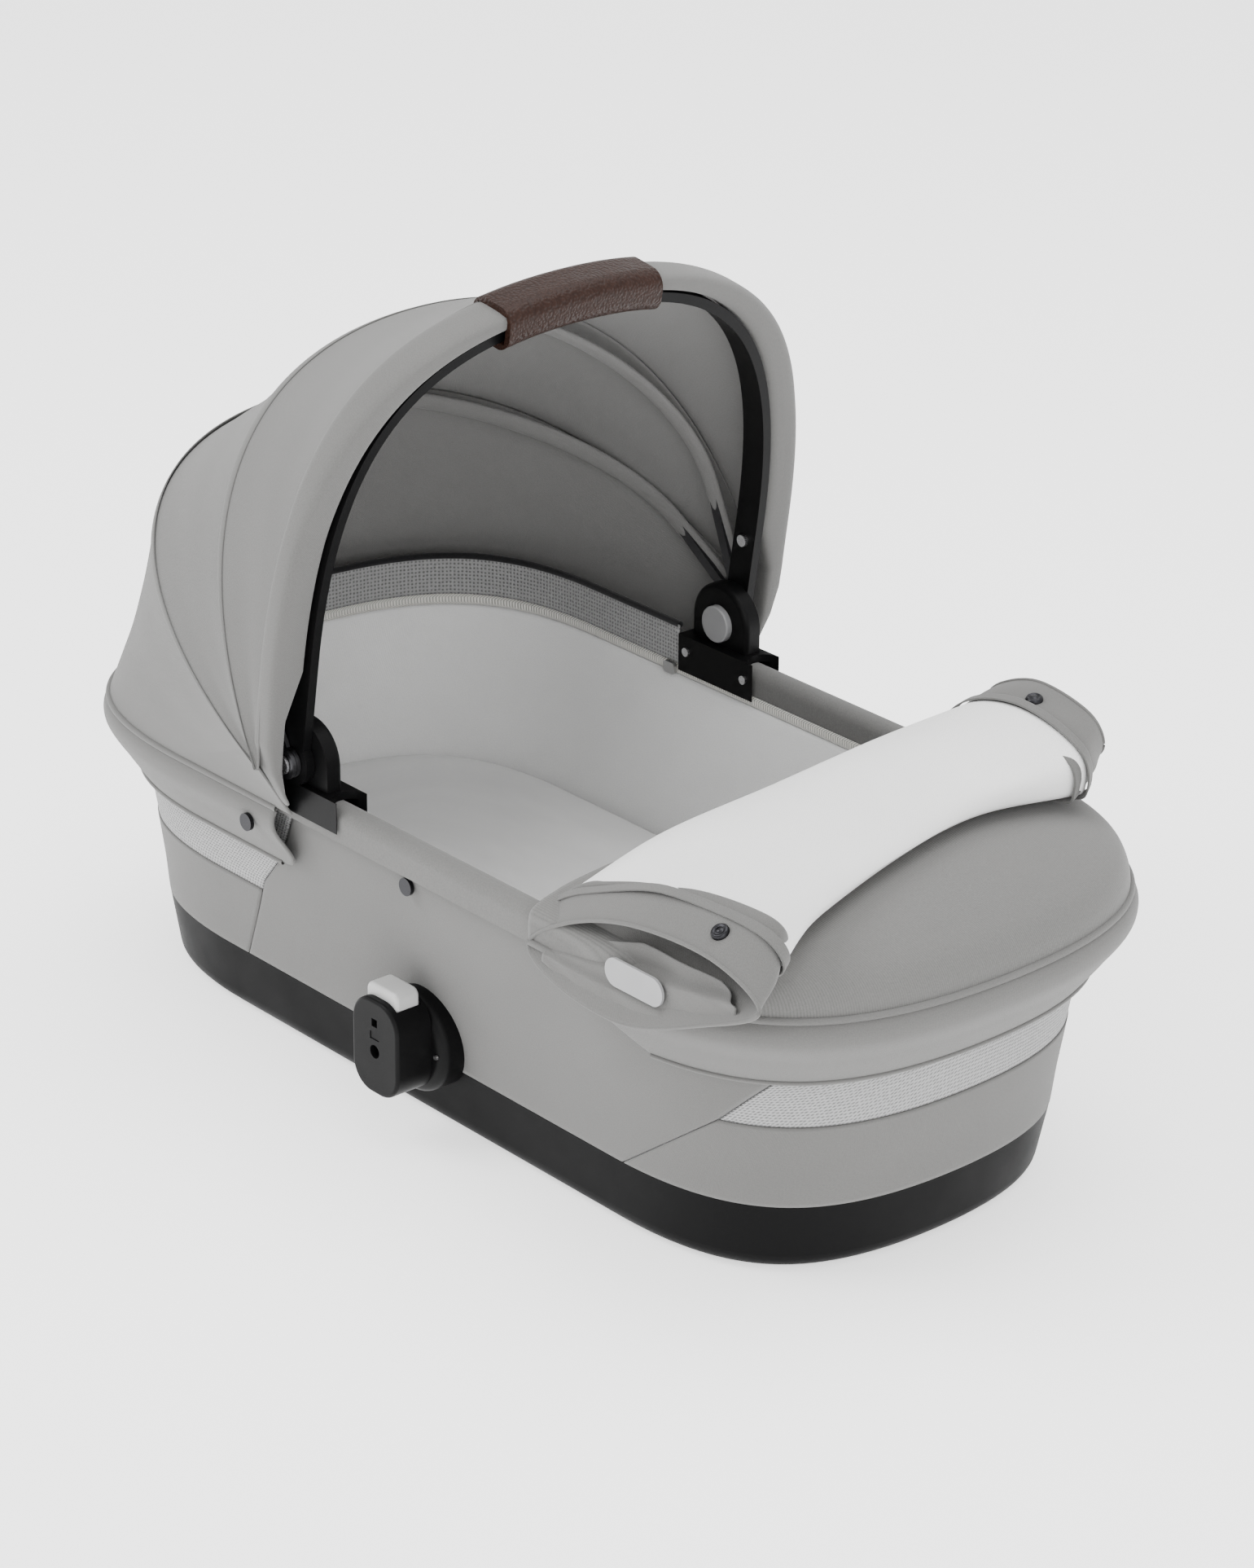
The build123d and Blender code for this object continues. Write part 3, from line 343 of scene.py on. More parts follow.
cloth, given, made = effect_group(
    "woven_cloth",
    [("Vector", VECTOR), ("Cloth", COLOUR), ("Threads", NUMBER), ("Heather", NUMBER)],
    [("Colour", COLOUR), ("Height", NUMBER)],
)
axes = step(cloth, "ShaderNodeSeparateXYZ", (given.outputs["Vector"],))
warp = calc(cloth, "SINE", calc(cloth, "MULTIPLY", axes.outputs[0], given.outputs["Threads"]))
weft = calc(cloth, "SINE", calc(cloth, "MULTIPLY", axes.outputs[1], given.outputs["Threads"]))
fibres = step(cloth, "ShaderNodeTexNoise", (given.outputs["Vector"], None, 900.0, 3.0, 0.7)).outputs[0]
faded = step(cloth, "ShaderNodeTexNoise", (given.outputs["Vector"], None, 10.0, 2.0, 0.5)).outputs[0]
heathered = varied(cloth, given.outputs["Cloth"], fibres, given.outputs["Heather"])
cloth.links.new(varied(cloth, heathered, faded, 0.07), made.inputs["Colour"])
cloth.links.new(
    calc(cloth, "MULTIPLY_ADD", calc(cloth, "MULTIPLY", warp, weft), 0.35, fibres), made.inputs["Height"]
)


def fabric(name, colour, threads=4800.0, heather=0.3, **shader):
    """Woven cloth on the piece's own UV map, with threads as radians per metre."""
    shader.setdefault("bump", (0.35, 0.0006))
    return finish_material(
        name, cloth, colour, "Cloth", [("Threads", threads), ("Heather", heather)], uses_uv=True,
        Roughness=0.92, Sheen_Weight=0.18, Sheen_Roughness=0.5, Specular_IOR_Level=0.2, **shader,
    )


SHELL_GREY = (0.128, 0.127, 0.123)
shell_fabric = fabric("shell_fabric", SHELL_GREY)
lining_fabric = fabric("canopy_lining_fabric", (0.2, 0.198, 0.194), heather=0.2)
rim_fabric = finish_material(
    "rim_fabric", cloth, SHELL_GREY, "Cloth", [("Threads", 4800.0), ("Heather", 0.3)],
    Roughness=0.92, Sheen_Weight=0.18, Specular_IOR_Level=0.2,
)
dress(rim_fabric, "rim_frame")


def eased(rows, cols, seed, size):
    """Gentle unevenness of laid cloth: a sum of six slow sine waves in two directions, as one offset for each
    grid point."""
    rng = np.random.default_rng(seed)
    v, u = np.meshgrid(np.linspace(0, 1, rows), np.linspace(0, 1, cols), indexing="ij")
    waves = [
        np.sin(2 * math.pi * (a * u + b * v) + c) * w
        for a, b, c, w in zip(
            rng.uniform(1, 7, 6), rng.uniform(0.3, 2.5, 6), rng.uniform(0, 6.3, 6), rng.uniform(0.3, 1, 6)
        )
    ]
    return size * sum(waves) / 3


heights = np.linspace(WALL_BOTTOM, WALL_TOP, 44)
wall_rows = through(WALL, heights)
head_seam = np.interp(heights, *np.array(HEAD_SEAM).T)
foot_seam = np.interp(heights, *np.array(FOOT_SEAM).T)
share = np.linspace(0, 1, 150)
x = head_seam[:, None] + SEAM_GAP + (foot_seam - head_seam - 2 * SEAM_GAP)[:, None] * share
along, across = quarter()
half = wall_rows[:, 2:] * np.interp((x - FOOT_CENTRE) / (wall_rows[:, :1] - FOOT_CENTRE), along, across)
swell = np.sin(math.pi * np.linspace(0, 1, 44))[:, None] ** 0.5 * np.sin(math.pi * share) ** 0.25
for side_name, side in (("left", -1), ("right", 1)):
    proud = 1.1 * swell + eased(44, 150, 3 + side, 0.5) * swell
    grid = np.stack([x, side * (half + proud), np.broadcast_to(heights[:, None], x.shape)], 2)
    wall_side = grid_piece(f"shell_side_{side_name}", grid, "cot", wall=1.4, finishes=[shell_fabric])
    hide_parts(f"side_panel_{side_name}")

lower = np.linspace(WALL_BOTTOM, MESH_BOTTOM, 22)
lower_rows = through(WALL, lower)
for end, seam in (("head", HEAD_SEAM), ("foot", FOOT_SEAM)):
    starts = np.interp(lower, *np.array(seam).T) + (SEAM_GAP if end == "foot" else -SEAM_GAP)
    grid = end_grid(end, lower, lower_rows + eased(22, 1, 8, 0.3), starts, 160)
    end_wall = grid_piece(f"shell_{end}_end", grid, "cot", wall=1.4, finishes=[shell_fabric])
    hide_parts(f"{end}_panel")


# ---- mesh windows ----
# Knitted spacer mesh that lets air in at each end, seen under the hems.
# Its cells are a cell pattern with pale yarn round holes that are darkened with painted shade.
knit, given, made = effect_group(
    "knitted_mesh", [("Vector", VECTOR), ("Yarn", COLOUR)], [("Colour", COLOUR), ("Height", NUMBER)]
)
cells = step(knit, "ShaderNodeTexVoronoi", (given.outputs["Vector"], None, 330.0))
cells.inputs["Randomness"].default_value = 0.15
hole_relief_and_painted_shade = step(knit, "ShaderNodeMapRange", (cells.outputs["Distance"], 0.12, 0.42, 0.0, 1.0)).outputs[0]
specks = step(knit, "ShaderNodeTexNoise", (given.outputs["Vector"], None, 420.0, 2.0, 0.8)).outputs[0]
# Painted shade: the colour is darkened in the holes and lightened on the yarn round them, following the bump.
knit.links.new(
    varied(knit, varied(knit, given.outputs["Yarn"], hole_relief_and_painted_shade, 0.38), specks, 0.25), made.inputs["Colour"]
)
knit.links.new(hole_relief_and_painted_shade, made.inputs["Height"])
mesh_fabric = finish_material(
    "spacer_mesh", knit, (0.24, 0.24, 0.24), "Yarn", uses_uv=True, bump=(0.7, 0.001),
    Roughness=0.85, Sheen_Weight=0.1, Specular_IOR_Level=0.25,
)
upper = np.linspace(MESH_BOTTOM + 0.5, WALL_TOP, 26)
upper_rows = through(WALL, upper)
for end, seam in (("head", HEAD_SEAM), ("foot", FOOT_SEAM)):
    starts = np.interp(upper, *np.array(seam).T) + (SEAM_GAP if end == "foot" else -SEAM_GAP)
    grid = end_grid(end, upper, upper_rows - 0.5, starts, 150)
    window = grid_piece(f"mesh_window_{end}", grid, "cot", wall=1.2, finishes=[mesh_fabric])
    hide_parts(f"{end}_mesh")


# ---- liner, mattress and zip ----
# A quilted cotton liner stands inside the walls, and a soft mattress fills the floor.
# The liner zips to the rim all round, with an off-white coil chain.
liner_fabric = fabric("liner_fabric", (0.8, 0.8, 0.795), threads=3600.0, heather=0.12)
liner_heights = np.linspace(54.6, 203.8, 34)
liner_rows = through(WALL, np.clip(liner_heights, 53, 209))
inner_rows = liner_rows - 9.4 + eased(34, 1, 5, 0.4)
grid = ring_grid(liner_heights, inner_rows, 170)
liner = grid_piece("liner_wall", grid, "cot", wall=4.0, finishes=[liner_fabric])
liner.data.flip_normals()
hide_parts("liner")

mattress_low, mattress_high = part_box("mattress")
foot, head, width = mattress_high[0] * 1000, -mattress_low[0] * 1000, mattress_high[1] * 1000
bottom, top = mattress_low[2] * 1000 + 0.3, mattress_high[2] * 1000
profile = [
    (bottom, width), (bottom, 12), (bottom + 1.5, 4), (bottom + 6, 0.8), (bottom + 14, 0), (top - 13, 0),
    (top - 7, 1.5), (top - 3, 5.5), (top - 0.8, 13), (top, 26), (top + 1.2, 60), (top + 2.0, 100),
    (top + 2.0, width)
]
fine = np.linspace(0, len(profile) - 1, 60)
levels = through([(k, *p) for k, p in enumerate(profile)], fine)
levels[:, 1] = np.clip(levels[:, 1], 0, width)
outlines = np.stack([foot - levels[:, 1], head - levels[:, 1], width - levels[:, 1]], 1)
grid = ring_grid(levels[:, 0], outlines, 150)
mattress = grid_piece("mattress_pad", grid, "cot", away_from=(0, 0, 70), closed=True, finishes=[liner_fabric])
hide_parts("mattress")

teeth, given, made = effect_group(
    "zip_teeth", [("Vector", VECTOR), ("Tape", COLOUR)], [("Colour", COLOUR), ("Height", NUMBER)]
)
axes = step(teeth, "ShaderNodeSeparateXYZ", (given.outputs["Vector"],))
coil = calc(teeth, "ABSOLUTE", calc(teeth, "SINE", calc(teeth, "MULTIPLY", axes.outputs[0], 1300.0)))
teeth.links.new(varied(teeth, given.outputs["Tape"], coil, 0.35), made.inputs["Colour"])
teeth.links.new(coil, made.inputs["Height"])
zip_coil = finish_material(
    "zip_coil", teeth, (0.62, 0.61, 0.57), "Tape", uses_uv=True, bump=(0.8, 0.001), Roughness=0.5
)
zip_rows = np.array(
    [(369.9, 375.9, 182.6), (369.0, 375.0, 181.9), (369.0, 375.0, 181.8), (369.9, 375.9, 182.5)]
)
grid = ring_grid(np.array([204.5, 206.5, 210.5, 212.8]), zip_rows, 200)
zip_chain = grid_piece("zip_chain", grid, "cot", closed=True, finishes=[zip_coil])
zip_chain.data.flip_normals()
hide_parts("zip_tape")


# ---- inner mesh gusset under the canopy ----
# A strip of the same mesh from the zip up to the canopy's rear edge, bound in black.
# It runs round the head end only, between the two brackets.
def turn_outward(piece, line):
    """Turns a tube's faces round if they point towards the line through its middle."""
    mesh = piece.data
    centres, normals = np.zeros(3 * len(mesh.polygons)), np.zeros(3 * len(mesh.polygons))
    mesh.polygons.foreach_get("center", centres)
    mesh.polygons.foreach_get("normal", normals)
    around = len(mesh.polygons) // (len(line) - 1)
    nearest = np.repeat((line[:-1] + line[1:]) / 2000, around, axis=0)
    if ((centres.reshape(-1, 3) - nearest) * normals.reshape(-1, 3)).sum() < 0:
        mesh.flip_normals()


def tube_piece(name, path, radius, body, material, closed=False, around=12):
    """A round cord carried along a path: a circle across the path's direction at each of its points."""
    along_path = np.gradient(path, axis=0)
    if closed:
        along_path[[0, -1]] = path[1] - path[-2]
    along_path /= np.linalg.norm(along_path, axis=1)[:, None]
    sideways = np.cross(along_path, np.array([0.02, 0.01, 1.0]))
    sideways /= np.linalg.norm(sideways, axis=1)[:, None]
    upward = np.cross(sideways, along_path)
    angle = np.linspace(0, 2 * math.pi, around, endpoint=False)
    cosine, sine = np.cos(angle)[None, :, None], np.sin(angle)[None, :, None]
    ring = radius * (cosine * sideways[:, None] + sine * upward[:, None])
    piece = grid_piece(
        name, path[:, None] + ring, body, away_from=path.mean(0), closed=True, finishes=[material]
    )
    turn_outward(piece, path)
    return piece


binding_fabric = fabric("black_binding", (0.012, 0.012, 0.013), threads=5200.0, heather=0.4)
gusset_heights = np.linspace(213.6, 244.0, 10)
GUSSET_REACH, GUSSET_HALF, GUSSET_START = 375.4, 182.0, -123.0
gusset_rows = np.tile([GUSSET_REACH, GUSSET_REACH, GUSSET_HALF], (10, 1))
grid = end_grid("head", gusset_heights, gusset_rows, np.full(10, GUSSET_START), 140)
gusset = grid_piece("gusset_mesh", grid, "cot", wall=1.2, finishes=[mesh_fabric])
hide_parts("head_gusset")
binding_path = np.c_[
    end_path(-GUSSET_REACH, GUSSET_HALF, HEAD_CENTRE, GUSSET_START, 140), np.full(140, 244.5)
]
tube_piece("gusset_binding", binding_path, 2.6, "cot", binding_fabric)


# ---- canopy skirt and its piping ----
# A bulged band of shell fabric from a piped top seam down to a turned hem.
# Its front corners are cut round, and a press stud holds each of them.
BAND = [
    (157, 387, 393.5, 185), (180, 404, 406, 200), (200, 415.5, 415.5, 211.6), (208, 414.5, 415, 211.2),
    (213.6, 409, 411, 208)
]
PIPING_Z = 214.0
skirt_heights = np.linspace(157.2, 213.6, 30)
skirt_rows = through(BAND, skirt_heights)
corner = np.clip(22 - (skirt_heights - 157), 0, 22)
skirt_start = -105 - (22 - np.sqrt(np.maximum(22**2 - corner**2, 0)))
skirt_heights, skirt_start = np.r_[skirt_heights, 213.9], np.r_[skirt_start, skirt_start[-1]]
skirt_rows = np.r_[skirt_rows, [(391, 397, 203.6)]]
grid = end_grid("head", skirt_heights, skirt_rows, skirt_start, 220)
ease = eased(31, 220, 11, 0.6) * np.sin(math.pi * np.linspace(0, 1, 31))[:, None]
outward = grid - np.array([HEAD_CENTRE + 40, 0, 0])
outward[..., 2] = 0
outward /= np.linalg.norm(outward, axis=2)[..., None]
skirt = grid_piece(
    "skirt_cloth", grid + outward * ease[..., None], "cot", wall=1.8, finishes=[shell_fabric, lining_fabric]
)
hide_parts("canopy_skirt")
hem_path = np.c_[end_path(-394.5, 186.0, HEAD_CENTRE, -128.0, 200), np.full(200, 157.6)]
tube_piece("skirt_hem", hem_path, 1.7, "cot", shell_fabric)
head_piping = np.c_[end_path(-411.0, 208.4, HEAD_CENTRE, -104.0, 200), np.full(200, PIPING_Z)]
tube_piece("skirt_piping", head_piping, 2.4, "cot", shell_fabric)


# ---- apron ----
# A gently domed top in a finely ribbed cloth, piped to a band that tucks in under the foot end.
# Its head edge lies straight across the cot.
band_heights = np.linspace(157.2, 213.6, 30)
band_start = np.r_[np.interp(band_heights, [157, 214], [262, 205]), 205]
band_rows = np.r_[through(BAND, band_heights), [(391, 391, 203.6)]]
grid = end_grid("foot", np.r_[band_heights, 213.9], band_rows, band_start, 180)
apron_band = grid_piece("apron_band_cloth", grid, "cot", wall=1.8, finishes=[shell_fabric, lining_fabric])
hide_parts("apron_band")
hem_path = np.c_[end_path(388.0, 186.0, FOOT_CENTRE, 262.0, 160), np.full(160, 157.6)]
tube_piece("apron_hem", hem_path, 1.7, "cot", shell_fabric)
foot_piping = np.c_[end_path(409.6, 208.6, FOOT_CENTRE, 170.0, 180), np.full(180, PIPING_Z)]
tube_piece("apron_piping", foot_piping, 2.4, "cot", shell_fabric)

ribbed, given, made = effect_group(
    "ribbed_cloth", [("Vector", VECTOR), ("Cloth", COLOUR)], [("Colour", COLOUR), ("Height", NUMBER)]
)
axes = step(ribbed, "ShaderNodeSeparateXYZ", (given.outputs["Vector"],))
ribs = calc(ribbed, "ABSOLUTE", calc(ribbed, "SINE", calc(ribbed, "MULTIPLY", axes.outputs[1], 1900.0)))
fibres = step(ribbed, "ShaderNodeTexNoise", (given.outputs["Vector"], None, 800.0, 3.0, 0.7)).outputs[0]
ribbed.links.new(
    varied(ribbed, varied(ribbed, given.outputs["Cloth"], ribs, 0.1), fibres, 0.28), made.inputs["Colour"]
)
ribbed.links.new(calc(ribbed, "MULTIPLY_ADD", fibres, 0.5, ribs), made.inputs["Height"])
apron_fabric = finish_material(
    "apron_fabric", ribbed, SHELL_GREY, "Cloth", bump=(0.25, 0.0005),
    Roughness=0.92, Sheen_Weight=0.18, Sheen_Roughness=0.5, Specular_IOR_Level=0.2,
)
DOME = [
    (0, 214.4, 409, 208), (1, 226, 405, 208.4), (2, 236.6, 394, 204.5), (3, 242.6, 374, 187),
    (4, 246.4, 350, 165), (5, 250.2, 300, 115), (6, 251.2, 250, 60), (7, 251.4, 203, 0),
]
dome = through(DOME, np.linspace(0, 7, 60))
dome[:, 2] = np.clip(dome[:, 2], 0, 208.4)
outlines = np.stack([dome[:, 1], dome[:, 1], dome[:, 2]], 1)
grid = end_grid("foot", dome[:, 0], outlines, np.full(60, 168.3), 200)
apron = grid_piece(
    "apron_cloth", grid, "cot", away_from=(200, 0, 0), wall=1.6, finishes=[apron_fabric, lining_fabric]
)
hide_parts("apron_top")


# ---- folded flap ----
# The apron's wind flap folded back over it: pale lining outside, shell fabric inside.
# Its near end hangs open over the rim as a loop, and its far end stands up a little.
flap_lining = fabric("flap_lining", (0.86, 0.86, 0.855), threads=4200.0, heather=0.08)
NEAR_MOUTH = [
    (395, -210, 249), (347, -206, 266), (272, -206, 262), (210, -207, 242), (170, -209, 213),
    (207, -215, 198), (276, -217, 197), (345, -214, 222)
]
NEAR_EDGE = [
    (374, -171, 262), (356, -176, 284), (268, -180, 277), (202, -187, 256), (167, -189, 232),
    (205, -190, 246), (262, -188, 248), (330, -182, 250)
]
NEAR_ARM = [
    (334, -100, 263), (318, -100, 277), (258, -100, 283), (198, -100, 272), (167, -100, 255),
    (190, -100, 253), (255, -100, 253.5), (315, -100, 254)
]
MIDDLE = [
    (303, 0, 262), (288, 0, 274), (240, 0, 285), (192, 0, 277), (169, 0, 261), (186, 0, 254), (240, 0, 254),
    (285, 0, 254)
]
FAR_ARM = [
    (288, 90, 262), (277, 90, 277), (230, 90, 292), (188, 90, 283), (169, 90, 266), (182, 90, 254),
    (230, 90, 254), (272, 90, 254)
]
FAR_EDGE = [
    (304, 172, 262), (296, 172, 287), (241, 172, 300), (192, 172, 288), (172, 172, 268), (186, 172, 252),
    (240, 172, 251), (288, 172, 251)
]
FAR_MOUTH = [
    (286, 207, 276), (272, 207, 296), (224, 207, 304), (188, 206, 292), (176, 204, 276), (190, 203, 258),
    (225, 205, 254), (265, 207, 260)
]


def loops_through(keys, rows, cols):
    """Closed loops through eight points each, on cubics round every loop and on cubics from one loop to the
    next."""
    smooth = []
    for key in keys:
        wrapped = [(i, *key[i % 8]) for i in range(-3, 12)]
        smooth.append(through(wrapped, np.linspace(0, 8, cols, endpoint=False)).ravel())
    table = [(i, *flat) for i, flat in enumerate(smooth)]
    return through(table, np.linspace(0, len(keys) - 1, rows)).reshape(rows, cols, 3)


def grown(loop, by):
    """A loop moved out from its own middle by a distance."""
    away = loop - loop.mean(-2, keepdims=True)
    return loop + away / np.linalg.norm(away, axis=-1, keepdims=True) * by


LOOP_POINTS = 110
body_loops = loops_through([NEAR_EDGE, NEAR_ARM, MIDDLE, FAR_ARM, FAR_EDGE], 130, LOOP_POINTS)
body_loops[..., 2] += eased(130, LOOP_POINTS, 21, 0.9)
flap = grid_piece(
    "flap_cloth", body_loops, "flap", away_from=(245, 0, 268), closed=True, wall=1.4,
    finishes=[flap_lining, shell_fabric]
)
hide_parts("apron_flap")
for end_name, edge, mouth in (("near", body_loops[0], NEAR_MOUTH), ("far", body_loops[-1], FAR_MOUTH)):
    mouth_loop = loops_through([mouth, mouth], 2, LOOP_POINTS)[0]
    inner_edge = grown(edge, -3.0) - (mouth_loop - edge) * 0.35
    share = np.linspace(0, 1, 40)[:, None, None]
    cuff = inner_edge * (1 - share) + mouth_loop * share
    bulge = 3.0 * np.sin(math.pi * share) - 2.5 * (1 - share)
    cuff = grown(cuff, bulge) + eased(40, LOOP_POINTS, 23, 1.6)[..., None] * share * (1 - share) * 3
    cuff_piece = grid_piece(
        f"flap_cuff_{end_name}", cuff, "flap", away_from=cuff.mean((0, 1)), closed=True, wall=1.4,
        finishes=[shell_fabric]
    )
    tube_piece(
        f"flap_cuff_hem_{end_name}", np.r_[cuff[-1], cuff[-1][:1]], 1.3, "flap", shell_fabric, closed=True
    )
    share = np.linspace(-0.05, 0.16, 10)[:, None, None]
    band = grown(edge * (1 - share) + mouth_loop * share, 3.3)
    binding = grid_piece(
        f"flap_binding_{end_name}", band, "flap", away_from=band.mean((0, 1)), closed=True, wall=1.2,
        finishes=[shell_fabric]
    )
    row, column = (24, 17) if end_name == "near" else (22, 26)
    seat = cuff[row, column]
    along_cuff = cuff[row + 1, column] - cuff[row - 1, column]
    round_cuff = cuff[row, column + 1] - cuff[row, column - 1]
    out = np.cross(along_cuff, round_cuff)
    out *= np.sign(out @ (seat - cuff.mean((0, 1)))) / np.linalg.norm(out)
    first = along_cuff / np.linalg.norm(along_cuff)
    second = np.cross(out, first)
    turn = np.linspace(0, 2 * math.pi, 28, endpoint=False)
    profile = np.array(
        [(0.05, 3.2), (2.2, 3.2), (2.6, 2.5), (3.6, 2.5), (4.2, 3.1), (5.2, 3.0), (6.2, 1.8), (6.4, -0.8)]
    )
    disc = np.cos(turn)[:, None] * first + np.sin(turn)[:, None] * second
    cap = seat + profile[:, :1, None] * disc[None] + profile[:, 1:, None] * out
    stud = grid_piece(
        f"flap_stud_{end_name}", cap, "flap", away_from=seat - 4 * out, closed=True, finishes=[gunmetal]
    )
tuck_x = np.linspace(188, 372, 90)
tuck_v = np.linspace(0, 1, 30)[:, None]
tuck_top = np.interp(tuck_x, [180, 210, 272, 347, 380], [226, 238, 257, 258, 250])
tuck_bottom = np.interp(tuck_x, [180, 207, 276, 345, 380], [210, 203, 202, 226, 240])
tuck_z = tuck_bottom + (tuck_top - 9 - tuck_bottom) * tuck_v
lip = 1 / (1 + np.exp(-(tuck_z - 232 - (tuck_x - 280) * 0.16) / 0.8))
folds = 0.7 * np.sin(tuck_x / 9 + 5 * tuck_v) - 10 * lip
tuck_rest = np.interp(tuck_z, [213.5, 216.5, 240, 258], [-213.2, -209.8, -209.4, -207])
tuck_y = tuck_rest - np.minimum(folds, 0) * 0.9
grid = np.stack([np.broadcast_to(tuck_x, tuck_z.shape), tuck_y, tuck_z], 2)
tuck = grid_piece("flap_tuck", grid, "flap", away_from=(250, 0, 230), wall=1.0, finishes=[shell_fabric])


# ---- canopy ----
# Three panels of shell fabric stretched over two spring ribs and the padded front sleeve.
# A darker lining faces inwards.
HINGE = np.array([-86.0, 0.0, 256.0])
MID_LEAN, REAR_LEAN, BOW_LEAN, SLEEVE_ANGLE = -25.9, -61.4, 8.9, 2.7
MID_ARCH = (238.7, 2, 22, 280, 0.637)
REAR_ARCH = (235.6, 2, 22, 303, 0.637)
SLEEVE_ARCH = (238.4, 2, 22, 318.4, 0.72)
PIPING_ARCH = (208.0, 2, 135, 325, 0.72)


def arch_points(half, foot, base, height, fullness, legs=26, crown=60):
    """Arch as (across, up) points: a straight leg from foot to base, a quarter of a full oval to the crown,
    and the same again mirrored."""
    along, falling = quarter(fullness, crown)
    leg = np.linspace(foot, base, legs, endpoint=False)
    across = np.r_[np.full(legs, -half), -half * falling]
    up = np.r_[leg, base + (height - base) * along]
    return np.stack([np.r_[across, -across[-2::-1]], np.r_[up, up[-2::-1]]], 1)


def square_to(lean):
    """Unit vector square to the plane that leans forward by an angle in degrees."""
    return np.array([math.cos(math.radians(lean)), 0, -math.sin(math.radians(lean))])


def on_lean(arch, lean):
    """Arch points on the plane through the hinge line that leans forward by an angle in degrees."""
    angle = math.radians(lean)
    across, up = arch[:, 0], arch[:, 1]
    return HINGE + np.stack([up * math.sin(angle), across, up * math.cos(angle)], 1)


def panel_grid(first, second, rows, sag, seed):
    """Straight lines between two arches, drawn in towards the hinge line most half way between them."""
    share = np.linspace(0, 1, rows)[:, None, None]
    grid = first * (1 - share) + second * share
    radial = grid - HINGE
    radial[..., 1] *= 0.35
    radial /= np.linalg.norm(radial, axis=2)[..., None] + 1e-9
    dip = 4 * share * (1 - share)
    reach = np.sin(math.pi * np.linspace(0, 1, grid.shape[1]))[None, :, None] ** 0.6
    return grid - radial * (sag * dip - eased(rows, grid.shape[1], seed, 0.9)[..., None] * dip) * reach


piping_arch = arch_points(*PIPING_ARCH)
piping_line = np.stack(
    [HINGE[0] - piping_arch[:, 1], piping_arch[:, 0], np.full(len(piping_arch), PIPING_Z + 0.6)], 1
)
sleeve_line = on_lean(arch_points(*SLEEVE_ARCH), BOW_LEAN - SLEEVE_ANGLE - 0.15)
mid_line = arch_points(*MID_ARCH)
rear_line = arch_points(*REAR_ARCH)
PANELS = [
    ("rear", "cot", "canopy_rear", piping_line, on_lean(rear_line, REAR_LEAN - 0.15), 5.0),
    (
        "middle", "canopy_rear", "canopy_middle", on_lean(rear_line, REAR_LEAN + 0.15),
        on_lean(mid_line, MID_LEAN - 0.15), 4.0
    ),
    ("front", "canopy_middle", "canopy_front", on_lean(mid_line, MID_LEAN + 0.15), sleeve_line, 4.0),
]
for k, (panel_name, body_a, body_b, first, second, sag) in enumerate(PANELS):
    grid = panel_grid(first, second, 40, sag, 31 + k)
    panel = grid_piece(
        f"canopy_{panel_name}_cloth", grid, None, away_from=HINGE, wall=1.6,
        finishes=[shell_fabric, lining_fabric]
    )
    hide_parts(f"canopy_panel_{panel_name}")
    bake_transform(panel)

SEAM_HALF_ANGLE = 1.1
CHANNEL_HALF_DEPTH, CHANNEL_HALF_WIDTH = 3.4, 7.5
RIBS = [
    ("middle", "canopy_middle", mid_line, MID_LEAN, 216.5, 273.0),
    ("rear", "canopy_rear", rear_line, REAR_LEAN, 221.0, 296.0),
]
for rib_name, body, arch, lean, elbow, crown in RIBS:
    spread = np.linspace(-1, 1, 9)
    strip = np.array([
        on_lean(
            arch + np.sign(arch) * (0.5 + 0.5 * (1 - e**2)) * np.array([1, 0.6]), lean + SEAM_HALF_ANGLE * e
        )
        for e in spread
    ])
    seam = grid_piece(f"rib_seam_{rib_name}", strip, body, away_from=HINGE, wall=1.0, finishes=[shell_fabric])
    line = arch_points(elbow, 34, 100, crown, 0.47)
    outward = np.gradient(line, axis=0)[:, ::-1] * np.array([-1, 1])
    outward /= np.linalg.norm(outward, axis=1)[:, None]
    turn = np.linspace(0, 2 * math.pi, 20, endpoint=False)
    rings = np.array([
        on_lean(line + outward * CHANNEL_HALF_DEPTH * math.sin(a), lean)
        + square_to(lean) * CHANNEL_HALF_WIDTH * math.cos(a)
        for a in turn
    ]).transpose(1, 0, 2)
    channel = grid_piece(
        f"rib_channel_{rib_name}", rings, body, away_from=HINGE, closed=True, finishes=[lining_fabric]
    )
    turn_outward(channel, rings.mean(1))


# ---- front sleeve ----
# Padded fabric sleeve over the bow, closed round it, with legs that run down to the rim.
# Its section is a rounded square between the bow and the outer arch.
def sleeve_edge(foot_line, half, height, base):
    """Arch whose legs follow a table of (height above the hinge, half width) down to the rim."""
    arch = arch_points(half, -34, base, height, 0.72, legs=44)
    leg = np.interp(arch[:, 1], *np.array(foot_line).T)
    arch[:, 0] = np.where(arch[:, 1] < base, np.sign(arch[:, 0]) * leg, arch[:, 0])
    return arch


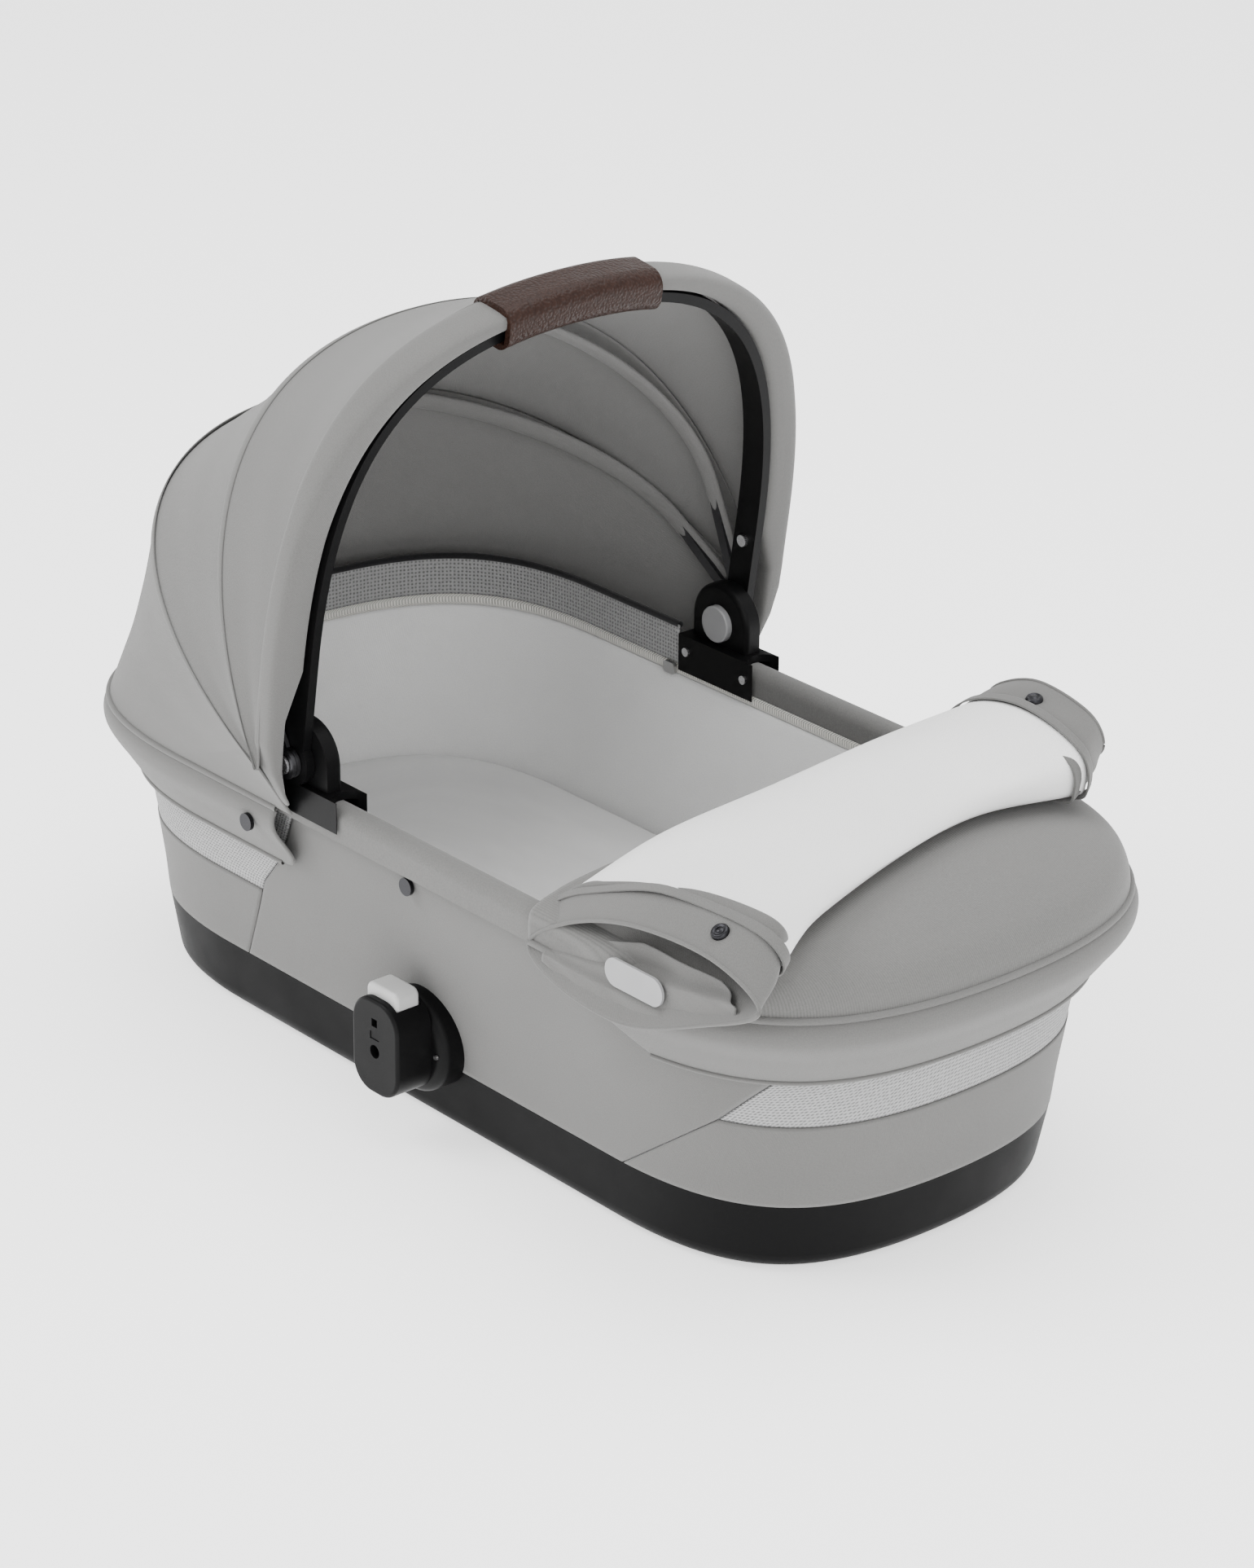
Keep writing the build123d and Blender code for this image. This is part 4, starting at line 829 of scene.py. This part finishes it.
outer = sleeve_edge([(-34, 212.5), (-20, 221), (0, 232), (22, 237.6), (76, 238.4)], 238.4, 318.4, 76)
under = sleeve_edge([(-34, 209.5), (-20, 217.5), (0, 221.5), (40, 222), (76, 209.4)], 209.4, 307.8, 76)
angle = np.linspace(0, 2 * math.pi, 36, endpoint=False)
lean_share = np.sign(np.cos(angle)) * np.abs(np.cos(angle)) ** 0.55
out_share = 0.5 + 0.5 * np.sign(np.sin(angle)) * np.abs(np.sin(angle)) ** 0.55
LEAST_HALF_DEPTH = 9.5
spread = math.tan(math.radians(SLEEVE_ANGLE + 0.3))
half_depth = np.maximum(np.clip(outer[:, 1], 0, None) * spread, LEAST_HALF_DEPTH)
sections = np.array([
    on_lean(under * (1 - r) + outer * r, BOW_LEAN) + square_to(BOW_LEAN) * half_depth[:, None] * a
    for a, r in zip(lean_share, out_share)
]).transpose(1, 0, 2)
middle = sections.mean(1, keepdims=True)
taper = np.ones((len(sections), 1, 1))
taper[:4, 0, 0] = [0.02, 0.6, 0.85, 0.96]
taper[-4:, 0, 0] = [0.96, 0.85, 0.6, 0.02]
sleeve_grid = middle + (sections - middle) * taper
sleeve = grid_piece(
    "front_sleeve_cloth", sleeve_grid, "canopy_front", away_from=HINGE, closed=True, finishes=[shell_fabric]
)
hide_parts("front_sleeve")


# ---- studio ----
# A pale floor that runs out of sight, soft lights and the camera.
# None of it belongs to the object.
floor_mesh = bpy.data.meshes.new("floor")
floor_mesh.from_pydata(
    [(-12, -12, -0.0005), (12, -12, -0.0005), (12, 12, -0.0005), (-12, 12, -0.0005)], [], [(0, 1, 2, 3)]
)
floor = bpy.data.objects.new("floor", floor_mesh)
bpy.context.scene.collection.objects.link(floor)
floor_material = bpy.data.materials.new("floor_paper")
floor_material.use_nodes = True
paper = floor_material.node_tree.nodes["Principled BSDF"].inputs
paper["Base Color"].default_value = (0.94, 0.94, 0.94, 1)
paper["Roughness"].default_value = 0.9
paper["Emission Color"].default_value = (1, 1, 1, 1)
paper["Emission Strength"].default_value = 1.15
floor_mesh.materials.append(floor_material)

world = bpy.data.worlds.new("studio")
bpy.context.scene.world = world
world.use_nodes = True
backdrop = world.node_tree.nodes["Background"].inputs
backdrop["Color"].default_value = (1, 1, 1, 1)
backdrop["Strength"].default_value = 1.35


def soft_light(name, place, target, size, power):
    """Square area light that faces a target."""
    data = bpy.data.lights.new(name, "AREA")
    data.energy, data.size = power, size
    light = bpy.data.objects.new(name, data)
    light.location = place
    back = np.array(place, float) - np.array(target, float)
    light.rotation_euler = (
        math.acos(back[2] / np.linalg.norm(back)), 0, math.atan2(back[1], back[0]) + math.pi / 2
    )
    bpy.context.scene.collection.objects.link(light)


soft_light("key", (-1.6, -2.2, 2.8), (0, 0, 0.2), 1.8, 90)
soft_light("fill", (2.8, -1.4, 1.6), (0, 0, 0.2), 2.2, 40)
soft_light("top", (0.3, 0.6, 3.2), (0, 0, 0.2), 2.4, 70)

AZIMUTH, ELEVATION, ROLL = 0.85338, 0.420214, 0.0097314
target, distance = np.array([0.027, 0, 0.2184]), 3.4346
back = np.array(
    [math.sin(AZIMUTH) * math.cos(ELEVATION), -math.cos(AZIMUTH) * math.cos(ELEVATION), math.sin(ELEVATION)]
)
right = np.cross(-back, (0, 0, 1))
right /= np.linalg.norm(right)
up = np.cross(right, -back)
turned_right = right * math.cos(ROLL) + up * math.sin(ROLL)
turned_up = up * math.cos(ROLL) - right * math.sin(ROLL)
camera_data = bpy.data.cameras.new("camera")
camera_data.lens, camera_data.sensor_width = 112.44, 36
camera = bpy.data.objects.new("camera", camera_data)
matrix = np.eye(4)
matrix[:3] = np.stack([turned_right, turned_up, back, target + back * distance], 1)
camera.matrix_world = mathutils.Matrix(matrix.tolist())
bpy.context.scene.collection.objects.link(camera)
bpy.context.scene.camera = camera
